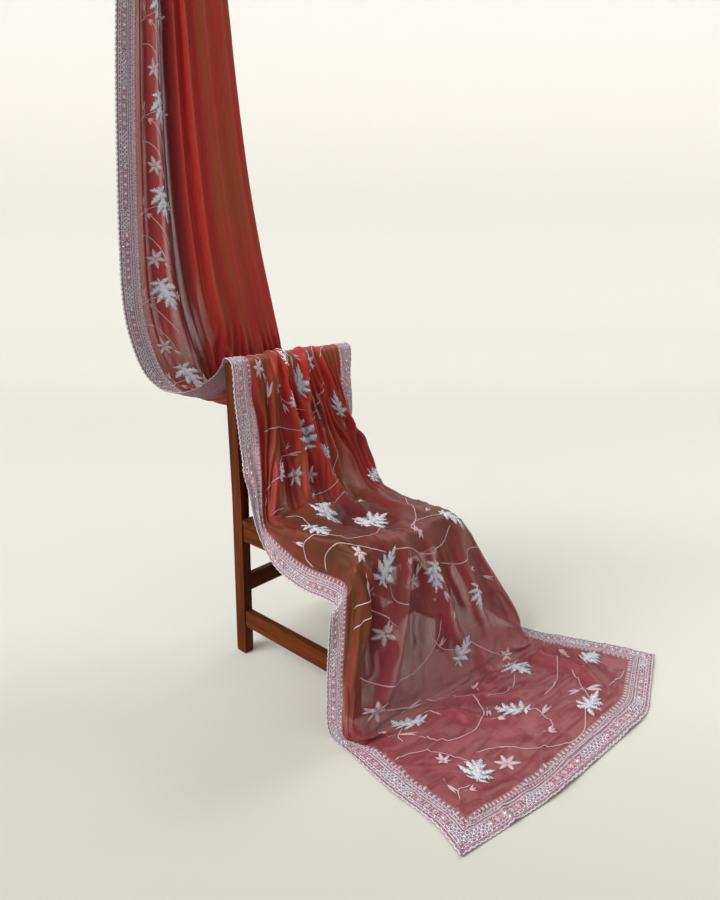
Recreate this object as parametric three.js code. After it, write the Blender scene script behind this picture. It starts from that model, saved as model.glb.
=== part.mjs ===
import * as THREE from "three";

// A saree of sheer tissue organza, draped over a plain wooden chair.
// Millimetres, +Z up, the chair's front faces -Y. Model coordinates are centred between the chair's
// feet at floor level; the last lines move the whole group to the middle of its own footprint.
// The cloth comes down from above behind the chair, swags in a loop, passes over the crest rail,
// down the back, across the seat, over the front edge, and spreads on the floor with its end.

// Cloth
const CLOTH_WIDTH = 1100;
const BORDER_WIDTH = 75;
const WALL = 1.6;
const SEAM_GAP = 0.3;
const BEND_SOFTNESS = 45;
const BORDER_SHARE = 0.62;
const FIELD_COLUMNS = 34;
const BORDER_COLUMNS = 2;
const NORMAL_STEP = 2;
// The cloth's underside stays this far above the board it rests on.
const CLOTH_LIFT = 0.4;
// Cloth this little above or below the top of the seat's board is laid on the board.
const SEAT_REACH = { above: 6, below: 40 };
// The weighted mean that rounds a section's bends, as shares of the bend softness.
const BEND_SAMPLES = [
  { shift: -1, weight: 0.12 },
  { shift: -0.5, weight: 0.23 },
  { shift: 0, weight: 0.3 },
  { shift: 0.5, weight: 0.23 },
  { shift: 1, weight: 0.12 },
];

// Chair
const LEG_SPREAD = 450;
const FRONT_LEG_Y = -248;
const REAR_POST_Y = 245;
const FRONT_LEG = { width: 36, depth: 36 };
const REAR_POST = { width: 32, depth: 45, height: 978, bendHeight: 530, lean: 16 };
const SEAT = { width: 490, front: -268, back: 221, top: 475, thickness: 20 };
const APRON = { height: 58, thickness: 22 };
const SIDE_STRETCHER = { bottom: 98, height: 56, thickness: 25 };
const CROSS_STRETCHER = { bottom: 212, height: 56, thickness: 25 };
const CREST_RAIL = { bottom: 892, height: 90, thickness: 24, crown: 3 };
const MID_RAIL = { bottom: 701, height: 32, thickness: 20 };
const EDGE_ROUND = 3;
const SEAT_CORNER_ROUND = 9;
const CORNER_SEGMENTS = 2;
const SEAT_CORNER_SEGMENTS = 3;
const CROWN_SEGMENTS = 8;
const POST_CHAMFER = 6;
const JOINT_GAP = 0.3;

const AXIS_X = new THREE.Vector3(1, 0, 0);
const AXIS_Y = new THREE.Vector3(0, 1, 0);
const AXIS_Z = new THREE.Vector3(0, 0, 1);

const WOOD = new THREE.MeshStandardMaterial({ color: 0x7a3f16, roughness: 0.38, metalness: 0 });
const ORGANZA = new THREE.MeshStandardMaterial({ color: 0x9c2a22, roughness: 0.45, metalness: 0.1 });
const EMBROIDERY = new THREE.MeshStandardMaterial({ color: 0xd8c4cf, roughness: 0.5, metalness: 0.2 });

// One row for each section across the cloth. s is the distance along the cloth from the cut at the top.
// Each section runs left edge, left bend, right bend, right edge. leftAt and rightAt say how far
// across the cloth, from its left edge, the two bends lie.
const SECTIONS = [
  { at: "top hem", s: 0, left: [-336, 632, 2200], leftBend: [-178, 625, 2200],
    rightBend: [66, 585, 2200], right: [-165, 672, 2200], leftAt: 270, rightAt: 770 },
  { at: "hanging, upper", s: 300, left: [-359, 632, 1900], leftBend: [-180, 622, 1900],
    rightBend: [98, 585, 1900], right: [-140, 680, 1900], leftAt: 270, rightAt: 770 },
  { at: "hanging, middle", s: 600, left: [-376, 630, 1600], leftBend: [-176, 618, 1600],
    rightBend: [140, 585, 1600], right: [-108, 688, 1600], leftAt: 270, rightAt: 770 },
  { at: "hanging, lower", s: 870, left: [-388, 626, 1330], leftBend: [-158, 612, 1330],
    rightBend: [191, 582, 1330], right: [-70, 690, 1330], leftAt: 270, rightAt: 770 },
  { at: "hanging, foot", s: 1055, left: [-390, 620, 1150], leftBend: [-140, 606, 1145],
    rightBend: [236, 580, 1140], right: [-25, 688, 1145], leftAt: 260, rightAt: 770 },
  { at: "loop, entry", s: 1180, left: [-374, 612, 1030], leftBend: [-120, 597, 1020],
    rightBend: [257, 572, 1015], right: [30, 682, 1010], leftAt: 250, rightAt: 775 },
  { at: "loop, going down", s: 1300, left: [-341, 594, 922], leftBend: [-100, 575, 900],
    rightBend: [262, 555, 905], right: [100, 662, 892], leftAt: 240, rightAt: 780 },
  { at: "loop, rear of bottom", s: 1385, left: [-304, 553, 868], leftBend: [-90, 530, 824],
    rightBend: [255, 512, 828], right: [170, 600, 795], leftAt: 230, rightAt: 790 },
  { at: "loop, bottom", s: 1455, left: [-276, 492, 860], leftBend: [-85, 460, 794],
    rightBend: [230, 450, 797], right: [225, 510, 750], leftAt: 220, rightAt: 800 },
  { at: "loop, front of bottom", s: 1535, left: [-252, 420, 884], leftBend: [-85, 385, 812],
    rightBend: [190, 378, 822], right: [252, 405, 775], leftAt: 210, rightAt: 810 },
  { at: "loop, going up", s: 1620, left: [-236, 344, 933], leftBend: [-90, 324, 890],
    rightBend: [145, 322, 895], right: [262, 332, 872], leftAt: 205, rightAt: 820 },
  { at: "behind the rail", s: 1700, left: [-242, 298, 970], leftBend: [-100, 297, 972],
    rightBend: [115, 297, 975], right: [282, 295, 975], leftAt: 200, rightAt: 830 },
  { at: "on the rail", s: 1740, left: [-257, 262, 996], leftBend: [-110, 262, 996],
    rightBend: [108, 262, 998], right: [288, 258, 1000], leftAt: 200, rightAt: 830 },
  { at: "front of the rail", s: 1780, left: [-258, 228, 980], leftBend: [-112, 225, 982],
    rightBend: [108, 225, 985], right: [286, 226, 988], leftAt: 200, rightAt: 830 },
  { at: "back, upper", s: 1870, left: [-258, 220, 880], leftBend: [-118, 210, 880],
    rightBend: [150, 200, 880], right: [282, 224, 885], leftAt: 195, rightAt: 830 },
  { at: "back, middle", s: 2008, left: [-250, 210, 745], leftBend: [-130, 196, 745],
    rightBend: [222, 186, 745], right: [286, 230, 748], leftAt: 190, rightAt: 830 },
  { at: "back, lower", s: 2138, left: [-272, 158, 622], leftBend: [-165, 160, 630],
    rightBend: [285, 160, 630], right: [292, 250, 632], leftAt: 180, rightAt: 835 },
  { at: "foot of the back", s: 2265, left: [-280, 100, 485], leftBend: [-235, 90, 514],
    rightBend: [294, 80, 512], right: [296, 150, 430], leftAt: 170, rightAt: 840 },
  { at: "seat, rear", s: 2345, left: [-281, 25, 398], leftBend: [-257, 20, 522],
    rightBend: [286, 5, 492], right: [302, 60, 330], leftAt: 165, rightAt: 850 },
  { at: "seat, middle", s: 2490, left: [-281, -90, 360], leftBend: [-257, -120, 524],
    rightBend: [268, -120, 488], right: [298, -60, 320], leftAt: 165, rightAt: 850 },
  { at: "seat, front", s: 2640, left: [-282, -212, 360], leftBend: [-252, -262, 528],
    rightBend: [262, -268, 484], right: [300, -180, 310], leftAt: 165, rightAt: 850 },
  { at: "seat, lip", s: 2682, left: [-290, -248, 358], leftBend: [-254, -294, 502],
    rightBend: [287, -284, 452], right: [308, -205, 290], leftAt: 165, rightAt: 850 },
  { at: "fall, upper", s: 2780, left: [-332, -262, 350], leftBend: [-262, -304, 405],
    rightBend: [335, -314, 345], right: [340, -225, 235], leftAt: 170, rightAt: 850 },
  { at: "fall, middle", s: 2910, left: [-342, -262, 255], leftBend: [-285, -318, 270],
    rightBend: [400, -360, 215], right: [385, -250, 150], leftAt: 180, rightAt: 850 },
  { at: "fall, lower", s: 3050, left: [-348, -262, 140], leftBend: [-300, -330, 130],
    rightBend: [462, -400, 95], right: [452, -282, 60], leftAt: 190, rightAt: 850 },
  { at: "turn on to the floor", s: 3180, left: [-338, -262, 12], leftBend: [-300, -345, 8],
    rightBend: [428, -470, 8], right: [513, -370, 3], leftAt: 200, rightAt: 850 },
  { at: "floor, near", s: 3290, left: [-352, -370, WALL], leftBend: [-200, -430, WALL],
    rightBend: [432, -548, WALL], right: [538, -462, WALL], leftAt: 250, rightAt: 850 },
  { at: "floor, middle", s: 3440, left: [-374, -516, WALL], leftBend: [-150, -575, WALL],
    rightBend: [402, -650, WALL], right: [588, -580, WALL], leftAt: 300, rightAt: 800 },
  { at: "floor, far", s: 3580, left: [-382, -646, WALL], leftBend: [-118, -716, WALL],
    rightBend: [366, -778, WALL], right: [634, -706, WALL], leftAt: 330, rightAt: 780 },
  { at: "end hem", s: 3680, left: [-414, -740, WALL], leftBend: [-110, -823, WALL],
    rightBend: [338, -889, WALL], right: [661, -803, WALL], leftAt: 350, rightAt: 760 },
];

// One row for each large fold: its path as [s, across] points, how wide it is to each side, how high
// it stands (or deep, if negative), and the share of its length over which it rises and dies away.
const FOLDS = [
  { fold: "hanging, hollow by the border", path: [[-60, 118], [1180, 112], [1420, 112]],
    width: 30, height: -12, fadeIn: 0, fadeOut: 0.35 },
  { fold: "hanging, ridge under the vine", path: [[-60, 180], [600, 178], [1180, 182], [1400, 190]],
    width: 34, height: 22, fadeIn: 0, fadeOut: 0.3 },
  { fold: "hanging, deep hollow", path: [[-60, 268], [600, 262], [1180, 246], [1420, 230]],
    width: 30, height: -26, fadeIn: 0, fadeOut: 0.3 },
  { fold: "hanging, second ridge", path: [[-60, 318], [600, 322], [1180, 318]],
    width: 24, height: 15, fadeIn: 0, fadeOut: 0.25 },
  { fold: "hanging, golden ridge", path: [[-60, 382], [600, 405], [1180, 392], [1420, 380]],
    width: 24, height: 20, fadeIn: 0, fadeOut: 0.3 },
  { fold: "hanging, red hollow", path: [[-60, 440], [600, 455], [1180, 445]],
    width: 26, height: -16, fadeIn: 0, fadeOut: 0.25 },
  { fold: "hanging, red ridge", path: [[-60, 500], [500, 515], [1150, 520], [1400, 520]],
    width: 34, height: 13, fadeIn: 0, fadeOut: 0.3 },
  { fold: "hanging, outer hollow", path: [[-60, 585], [700, 600], [1200, 600]],
    width: 30, height: -14, fadeIn: 0, fadeOut: 0.3 },
  { fold: "hanging, ridge by the turned edge", path: [[-60, 665], [700, 670], [1250, 670]],
    width: 30, height: 9, fadeIn: 0, fadeOut: 0.3 },
  { fold: "turned layer, ridge", path: [[-60, 930], [1150, 930]],
    width: 28, height: -14, fadeIn: 0, fadeOut: 0.3 },
  { fold: "turned layer, hollow", path: [[-60, 1000], [1150, 1000]],
    width: 26, height: 12, fadeIn: 0, fadeOut: 0.3 },
  { fold: "loop, first fold", path: [[1230, 250], [1450, 330], [1700, 300]],
    width: 40, height: -14, fadeIn: 0.3, fadeOut: 0.3 },
  { fold: "loop, second fold", path: [[1230, 480], [1450, 520], [1700, 470]],
    width: 40, height: -16, fadeIn: 0.3, fadeOut: 0.3 },
  { fold: "loop, third fold", path: [[1250, 640], [1450, 700], [1700, 640]],
    width: 40, height: -14, fadeIn: 0.3, fadeOut: 0.3 },
  { fold: "back, first ridge", path: [[1560, 300], [1746, 290], [1845, 212], [2080, 190], [2330, 175]],
    width: 28, height: 24, fadeIn: 0.25, fadeOut: 0.12 },
  { fold: "back, second ridge", path: [[1560, 420], [1740, 400], [1851, 318], [2026, 375], [2340, 350]],
    width: 30, height: 30, fadeIn: 0.25, fadeOut: 0.12 },
  { fold: "back, long slanting ridge",
    path: [[1600, 720], [1734, 700], [1800, 590], [1927, 485], [2090, 462], [2290, 560], [2420, 540]],
    width: 28, height: 30, fadeIn: 0.2, fadeOut: 0.15 },
  { fold: "back, narrow ridge", path: [[1640, 600], [1740, 770], [1866, 705], [1964, 628], [2100, 560]],
    width: 20, height: 15, fadeIn: 0.25, fadeOut: 0.3 },
  { fold: "back, taut ridge to the seat's corner",
    path: [[1640, 840], [1759, 830], [1903, 800], [2044, 828], [2188, 850], [2300, 830]],
    width: 26, height: 20, fadeIn: 0.2, fadeOut: 0.2 },
  { fold: "back, first hollow", path: [[1800, 262], [1950, 275], [2140, 280], [2280, 270]],
    width: 26, height: -9, fadeIn: 0.2, fadeOut: 0.2 },
  { fold: "back, second hollow", path: [[1840, 420], [1990, 430], [2150, 425], [2300, 440]],
    width: 24, height: -9, fadeIn: 0.2, fadeOut: 0.2 },
  { fold: "seat, sag on to the board", path: [[2330, 420], [2480, 500], [2600, 560]],
    width: 130, height: -40, fadeIn: 0.3, fadeOut: 0.3 },
  { fold: "seat, roll at the rear", path: [[2300, 250], [2330, 420], [2345, 520]],
    width: 28, height: 14, fadeIn: 0.3, fadeOut: 0.3 },
  { fold: "seat, roll along the left", path: [[2380, 172], [2520, 165], [2640, 190]],
    width: 28, height: 10, fadeIn: 0.3, fadeOut: 0.2 },
  { fold: "seat, roll along the front", path: [[2600, 200], [2668, 330], [2682, 520], [2668, 700]],
    width: 30, height: 14, fadeIn: 0.15, fadeOut: 0.4 },
  { fold: "seat, slanting fold", path: [[2300, 600], [2420, 560], [2560, 430], [2660, 320]],
    width: 26, height: 16, fadeIn: 0.2, fadeOut: 0.2 },
  { fold: "seat, right fold", path: [[2250, 800], [2400, 700], [2560, 690], [2660, 720]],
    width: 30, height: 10, fadeIn: 0.25, fadeOut: 0.3 },
  { fold: "fall, corner fold", path: [[2690, 190], [2850, 172], [3080, 140]],
    width: 30, height: 26, fadeIn: 0.12, fadeOut: 0.3 },
  { fold: "fall, first hollow", path: [[2700, 262], [2850, 240], [3060, 215]],
    width: 30, height: -18, fadeIn: 0.15, fadeOut: 0.3 },
  { fold: "fall, second fold", path: [[2650, 400], [2730, 400], [2888, 345], [3042, 290], [3150, 240]],
    width: 28, height: 26, fadeIn: 0.15, fadeOut: 0.2 },
  { fold: "fall, second hollow", path: [[2740, 470], [2900, 430], [3080, 380]],
    width: 34, height: -20, fadeIn: 0.2, fadeOut: 0.3 },
  { fold: "fall, third fold", path: [[2680, 540], [2860, 555], [2992, 552], [3130, 600]],
    width: 26, height: 22, fadeIn: 0.15, fadeOut: 0.3 },
  { fold: "fall, third hollow", path: [[2720, 630], [2880, 620], [3060, 640]],
    width: 28, height: -14, fadeIn: 0.2, fadeOut: 0.3 },
  { fold: "fall, fourth fold", path: [[2640, 800], [2796, 712], [2968, 682], [3220, 690]],
    width: 28, height: 20, fadeIn: 0.15, fadeOut: 0.35 },
  { fold: "fall, fourth hollow", path: [[2760, 790], [2950, 760], [3100, 760]],
    width: 26, height: -12, fadeIn: 0.2, fadeOut: 0.3 },
  { fold: "fall, roll of the right edge", path: [[2680, 850], [2934, 846], [3150, 846]],
    width: 28, height: 8, fadeIn: 0.2, fadeOut: 0.3 },
  { fold: "floor, first fold", path: [[3060, 640], [3200, 650], [3275, 618], [3290, 560]],
    width: 24, height: 16, fadeIn: 0.3, fadeOut: 0.3 },
  { fold: "floor, second fold", path: [[3185, 330], [3290, 400], [3400, 430], [3520, 560]],
    width: 24, height: 14, fadeIn: 0.2, fadeOut: 0.3 },
  { fold: "floor, third fold", path: [[3150, 430], [3269, 470], [3355, 545], [3430, 690]],
    width: 24, height: 17, fadeIn: 0.25, fadeOut: 0.3 },
  { fold: "floor, fourth fold", path: [[3200, 800], [3330, 800], [3480, 800], [3600, 740]],
    width: 26, height: 26, fadeIn: 0.2, fadeOut: 0.25 },
  { fold: "floor, fifth fold", path: [[3220, 900], [3330, 930], [3450, 960], [3560, 1000]],
    width: 24, height: 15, fadeIn: 0.25, fadeOut: 0.3 },
];

// The stretches that show, each with the distance along the cloth where it ends and its rows' spacing.
const STRETCHES = [
  { name: "hanging", end: 1180, rowStep: 135 },
  { name: "loop", end: 1700, rowStep: 44 },
  { name: "back", end: 2265, rowStep: 46 },
  { name: "seat", end: 2682, rowStep: 46 },
  { name: "fall", end: 3180, rowStep: 56 },
  { name: "floor", end: 3605, rowStep: 45 },
];

const lerp = (from, to, share) => from.map((value, axis) => value + (to[axis] - value) * share);

// The point of a section's plain outline at a distance across the cloth.
function outlinePoint(section, across) {
  const leftLength = Math.hypot(...section.left.map((value, axis) => value - section.leftBend[axis]));
  const rightLength = Math.hypot(...section.right.map((value, axis) => value - section.rightBend[axis]));
  const leftShare = Math.min(BORDER_WIDTH / leftLength, BORDER_SHARE);
  const rightShare = Math.min(BORDER_WIDTH / rightLength, BORDER_SHARE);
  const knots = [
    { a: 0, point: section.left },
    { a: BORDER_WIDTH, point: lerp(section.left, section.leftBend, leftShare) },
    { a: section.leftAt, point: section.leftBend },
    { a: section.rightAt, point: section.rightBend },
    { a: CLOTH_WIDTH - BORDER_WIDTH, point: lerp(section.right, section.rightBend, rightShare) },
    { a: CLOTH_WIDTH, point: section.right },
  ];
  let k = 0;
  while (k < knots.length - 2 && across > knots[k + 1].a) {
    k += 1;
  }
  return lerp(knots[k].point, knots[k + 1].point, (across - knots[k].a) / (knots[k + 1].a - knots[k].a));
}

// The same outline with its bends rounded: a weighted mean of the outline to both sides.
function softPoint(section, across) {
  const reach = Math.min(BEND_SOFTNESS, across, CLOTH_WIDTH - across);
  const point = [0, 0, 0];
  for (const { shift, weight } of BEND_SAMPLES) {
    const sample = outlinePoint(section, across + shift * reach);
    for (let axis = 0; axis < 3; axis += 1) {
      point[axis] += weight * sample[axis];
    }
  }
  return point;
}

// The rate at which the cloth's points move per millimetre of s, at section i.
function slope(i, across) {
  const before = SECTIONS[Math.max(i - 1, 0)];
  const after = SECTIONS[Math.min(i + 1, SECTIONS.length - 1)];
  const from = softPoint(before, across);
  const to = softPoint(after, across);
  return to.map((value, axis) => (value - from[axis]) / (after.s - before.s));
}

// The smooth cloth without its folds: cubic curves from section to section.
function basePoint(s, across) {
  let i = 0;
  while (i < SECTIONS.length - 2 && s > SECTIONS[i + 1].s) {
    i += 1;
  }
  const span = SECTIONS[i + 1].s - SECTIONS[i].s;
  const u = (s - SECTIONS[i].s) / span;
  const startWeight = 2 * u ** 3 - 3 * u ** 2 + 1;
  const startSlopeWeight = (u ** 3 - 2 * u ** 2 + u) * span;
  const endSlopeWeight = (u ** 3 - u ** 2) * span;
  const start = softPoint(SECTIONS[i], across);
  const end = softPoint(SECTIONS[i + 1], across);
  const startSlope = slope(i, across);
  const endSlope = slope(i + 1, across);
  return new THREE.Vector3(...start.map((value, axis) => value * startWeight
    + end[axis] * (1 - startWeight)
    + startSlope[axis] * startSlopeWeight
    + endSlope[axis] * endSlopeWeight));
}

const LENGTH = SECTIONS[SECTIONS.length - 1].s;

// Directions of a surface function at a place: along the cloth, sideways, and the normal of its
// outer face, away from the chair and the floor.
function directionsOf(surface, s, across) {
  const sLow = Math.max(s - NORMAL_STEP, 0);
  const sHigh = Math.min(s + NORMAL_STEP, LENGTH);
  const aLow = Math.max(across - NORMAL_STEP, 0);
  const aHigh = Math.min(across + NORMAL_STEP, CLOTH_WIDTH);
  const along = surface(sHigh, across).sub(surface(sLow, across));
  const sideways = surface(s, aHigh).sub(surface(s, aLow));
  const normal = along.clone().cross(sideways).normalize();
  return { along: along.normalize(), sideways: sideways.normalize(), normal };
}

// Height of one fold at a place on the cloth: a soft ridge along its path.
function foldHeight(row, s, across) {
  const lengths = row.path.slice(1).map((point, k) =>
    Math.hypot(point[0] - row.path[k][0], point[1] - row.path[k][1]));
  const total = lengths.reduce((sum, length) => sum + length, 0);
  let nearest = Infinity;
  let share = 0;
  let passed = 0;
  lengths.forEach((length, k) => {
    const [s0, a0] = row.path[k];
    const [s1, a1] = row.path[k + 1];
    const dot = (s - s0) * (s1 - s0) + (across - a0) * (a1 - a0);
    const u = THREE.MathUtils.clamp(dot / length ** 2, 0, 1);
    const distance = Math.hypot(s - s0 - u * (s1 - s0), across - a0 - u * (a1 - a0));
    if (distance < nearest) {
      nearest = distance;
      share = (passed + u * length) / total;
    }
    passed += length;
  });
  const rise = row.fadeIn ? THREE.MathUtils.smoothstep(share, 0, row.fadeIn) : 1;
  const fall = row.fadeOut ? THREE.MathUtils.smoothstep(1 - share, 0, row.fadeOut) : 1;
  return row.height * rise * fall * Math.exp(-((nearest / row.width) ** 2));
}

// The folded cloth. It rests on the seat's board and on the floor and never sinks into them.
function clothPoint(s, across) {
  const point = basePoint(s, across);
  const height = FOLDS.reduce((sum, row) => sum + foldHeight(row, s, across), 0);
  point.addScaledVector(directionsOf(basePoint, s, across).normal, height);
  const overSeat = Math.abs(point.x) < SEAT.width / 2 && point.y > SEAT.front && point.y < SEAT.back;
  const rise = point.z - SEAT.top;
  if (overSeat && rise < SEAT_REACH.above && rise > -SEAT_REACH.below) {
    point.z = Math.max(point.z, SEAT.top + CLOTH_LIFT + WALL);
  }
  point.z = Math.max(point.z, WALL);
  return point;
}

const clothCache = new Map();

// A point of the outer face and its directions, kept because neighbouring pieces share their seams.
function clothFrame(s, across) {
  const key = `${s.toFixed(3)} ${across.toFixed(3)}`;
  if (!clothCache.has(key)) {
    clothCache.set(key, { point: clothPoint(s, across), ...directionsOf(clothPoint, s, across) });
  }
  return clothCache.get(key);
}

const steps = (from, to, count) =>
  Array.from({ length: count + 1 }, (unused, k) => from + ((to - from) * k) / count);

// The rows of a stretch: its ends, the sections between them, and even steps from one to the next.
function stretchRows(from, to, rowStep) {
  const between = SECTIONS.map((section) => section.s).filter((s) => s > from && s < to);
  const marks = [from, ...between, to];
  return marks.slice(1).flatMap((mark, k) => {
    const count = Math.max(Math.round((mark - marks[k]) / rowStep), 1);
    return steps(marks[k], mark, count).slice(k === 0 ? 0 : 1);
  });
}

// A closed wall between two distances along the cloth and two across it. Its four edges are drawn
// in by half a seam, so that neighbouring pieces lie one seam gap apart.
function clothWall(rows, columns) {
  const rowCount = rows.length;
  const columnCount = columns.length;
  const lastColumn = columns[columnCount - 1];
  const outer = rows.map((s) => columns.map((a) => clothFrame(s, a).point.clone()));
  columns.forEach((a, j) => {
    outer[0][j].addScaledVector(clothFrame(rows[0], a).along, SEAM_GAP / 2);
    outer[rowCount - 1][j].addScaledVector(clothFrame(rows[rowCount - 1], a).along, -SEAM_GAP / 2);
  });
  rows.forEach((s, i) => {
    outer[i][0].addScaledVector(clothFrame(s, columns[0]).sideways, SEAM_GAP / 2);
    outer[i][columnCount - 1].addScaledVector(clothFrame(s, lastColumn).sideways, -SEAM_GAP / 2);
  });
  const inner = outer.map((line, i) => line.map((point, j) => {
    const lower = point.clone().addScaledVector(clothFrame(rows[i], columns[j]).normal, -WALL);
    lower.z = Math.max(lower.z, 0);
    return lower;
  }));
  const positions = [...outer.flat(), ...inner.flat()].flatMap((point) => point.toArray());
  const out = (i, j) => i * columnCount + j;
  const inn = (i, j) => rowCount * columnCount + i * columnCount + j;
  const indices = [];
  const quad = (a, b, c, d) => indices.push(a, b, c, a, c, d);
  for (let i = 0; i < rowCount - 1; i += 1) {
    for (let j = 0; j < columnCount - 1; j += 1) {
      quad(out(i, j), out(i + 1, j), out(i + 1, j + 1), out(i, j + 1));
      quad(inn(i, j), inn(i, j + 1), inn(i + 1, j + 1), inn(i + 1, j));
    }
  }
  for (let i = 0; i < rowCount - 1; i += 1) {
    const last = columnCount - 1;
    quad(out(i, 0), inn(i, 0), inn(i + 1, 0), out(i + 1, 0));
    quad(out(i, last), out(i + 1, last), inn(i + 1, last), inn(i, last));
  }
  for (let j = 0; j < columnCount - 1; j += 1) {
    const last = rowCount - 1;
    quad(out(0, j), out(0, j + 1), inn(0, j + 1), inn(0, j));
    quad(out(last, j), inn(last, j), inn(last, j + 1), out(last, j + 1));
  }
  const geometry = new THREE.BufferGeometry();
  geometry.setAttribute("position", new THREE.Float32BufferAttribute(positions, 3));
  geometry.setIndex(indices);
  geometry.computeVertexNormals();
  return geometry;
}

// A named sub-part with its material.
function part(name, geometry, material) {
  const mesh = new THREE.Mesh(geometry, material);
  mesh.name = name;
  return mesh;
}

// The saree: each stretch that shows, its two side borders, and the border across its end.
function buildCloth() {
  const cloth = new THREE.Group();
  const leftColumns = steps(0, BORDER_WIDTH, BORDER_COLUMNS);
  const fieldColumns = steps(BORDER_WIDTH, CLOTH_WIDTH - BORDER_WIDTH, FIELD_COLUMNS);
  const rightColumns = steps(CLOTH_WIDTH - BORDER_WIDTH, CLOTH_WIDTH, BORDER_COLUMNS);
  let start = 0;
  for (const stretch of STRETCHES) {
    const rows = stretchRows(start, stretch.end, stretch.rowStep);
    cloth.add(part(`cloth_${stretch.name}`, clothWall(rows, fieldColumns), ORGANZA));
    cloth.add(part(`border_left_${stretch.name}`, clothWall(rows, leftColumns), EMBROIDERY));
    cloth.add(part(`border_right_${stretch.name}`, clothWall(rows, rightColumns), EMBROIDERY));
    start = stretch.end;
  }
  const endColumns = [...leftColumns, ...fieldColumns.slice(1), ...rightColumns.slice(1)];
  cloth.add(part("border_end", clothWall(steps(start, LENGTH, BORDER_COLUMNS), endColumns), EMBROIDERY));
  return cloth;
}

// A rectangle with rounded corners, centred on the origin.
function roundedRectangle(width, height, radius) {
  const x = width / 2;
  const y = height / 2;
  const shape = new THREE.Shape();
  shape.absarc(x - radius, y - radius, radius, 0, Math.PI / 2, false);
  shape.absarc(radius - x, y - radius, radius, Math.PI / 2, Math.PI, false);
  shape.absarc(radius - x, radius - y, radius, Math.PI, Math.PI * 1.5, false);
  shape.absarc(x - radius, radius - y, radius, Math.PI * 1.5, Math.PI * 2, false);
  return shape;
}

// A straight bar of rounded rectangular section, its length along the section's normal.
function bar(width, height, length) {
  return new THREE.ExtrudeGeometry(roundedRectangle(width, height, EDGE_ROUND), {
    depth: length, bevelEnabled: false, curveSegments: CORNER_SEGMENTS,
  });
}

// How far the rear posts have leaned back at a height.
function leanAt(z) {
  const share = (z - REAR_POST.bendHeight) / (REAR_POST.height - REAR_POST.bendHeight);
  return REAR_POST.lean * Math.max(share, 0);
}

// A rear post: its side outline with the bend above the seat, given its width by extrusion.
function rearPost(centreX) {
  const half = REAR_POST.depth / 2;
  const top = REAR_POST.height;
  const chamfer = POST_CHAMFER;
  const outline = new THREE.Shape([
    new THREE.Vector2(-half + EDGE_ROUND, 0),
    new THREE.Vector2(half - EDGE_ROUND, 0),
    new THREE.Vector2(half, chamfer),
    new THREE.Vector2(half, REAR_POST.bendHeight),
    new THREE.Vector2(half + REAR_POST.lean, top - chamfer),
    new THREE.Vector2(half + REAR_POST.lean - chamfer, top),
    new THREE.Vector2(-half + REAR_POST.lean + chamfer, top),
    new THREE.Vector2(-half + REAR_POST.lean, top - chamfer),
    new THREE.Vector2(-half, REAR_POST.bendHeight),
    new THREE.Vector2(-half, chamfer),
  ]);
  const geometry = new THREE.ExtrudeGeometry(outline, { depth: REAR_POST.width, bevelEnabled: false });
  // The outline's x is depth and its y is height; turned so that its thickness runs along X.
  geometry.rotateX(Math.PI / 2);
  geometry.rotateZ(Math.PI / 2);
  geometry.translate(centreX - REAR_POST.width / 2, REAR_POST_Y, 0);
  return geometry;
}

// A front leg, upright under the seat's board.
function frontLeg(centreX) {
  const geometry = bar(FRONT_LEG.width, FRONT_LEG.depth, SEAT.top - SEAT.thickness - JOINT_GAP);
  geometry.translate(centreX, FRONT_LEG_Y, 0);
  return geometry;
}

// A bar along X between two side members, at a height, with its middle at y.
function crossBar(halfGap, y, bottom, height, thickness) {
  const length = 2 * (halfGap - JOINT_GAP);
  const geometry = bar(thickness, height, length);
  // The section's width turns to Y, its height to Z, and the bar's length to X.
  geometry.applyMatrix4(new THREE.Matrix4().makeBasis(AXIS_Y, AXIS_Z, AXIS_X));
  geometry.translate(-length / 2, y, bottom + height / 2);
  return geometry;
}

// A bar along Y between a front leg and a rear post, at a height, with its middle at x.
function sideBar(x, bottom, height, thickness) {
  const front = FRONT_LEG_Y + FRONT_LEG.depth / 2 + JOINT_GAP;
  const back = REAR_POST_Y - REAR_POST.depth / 2 - JOINT_GAP;
  const geometry = bar(thickness, height, back - front);
  geometry.rotateX(Math.PI / 2);
  geometry.translate(x, back, bottom + height / 2);
  return geometry;
}

// The seat's board with a softened upper edge.
function seatBoard() {
  const depth = SEAT.back - SEAT.front;
  const outline = roundedRectangle(SEAT.width - 2 * EDGE_ROUND, depth - 2 * EDGE_ROUND, SEAT_CORNER_ROUND);
  const geometry = new THREE.ExtrudeGeometry(outline, {
    depth: SEAT.thickness - 2 * EDGE_ROUND, bevelEnabled: true, bevelThickness: EDGE_ROUND,
    bevelSize: EDGE_ROUND, bevelSegments: CORNER_SEGMENTS, curveSegments: SEAT_CORNER_SEGMENTS,
  });
  geometry.translate(0, (SEAT.front + SEAT.back) / 2, SEAT.top - SEAT.thickness + EDGE_ROUND);
  return geometry;
}

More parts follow.
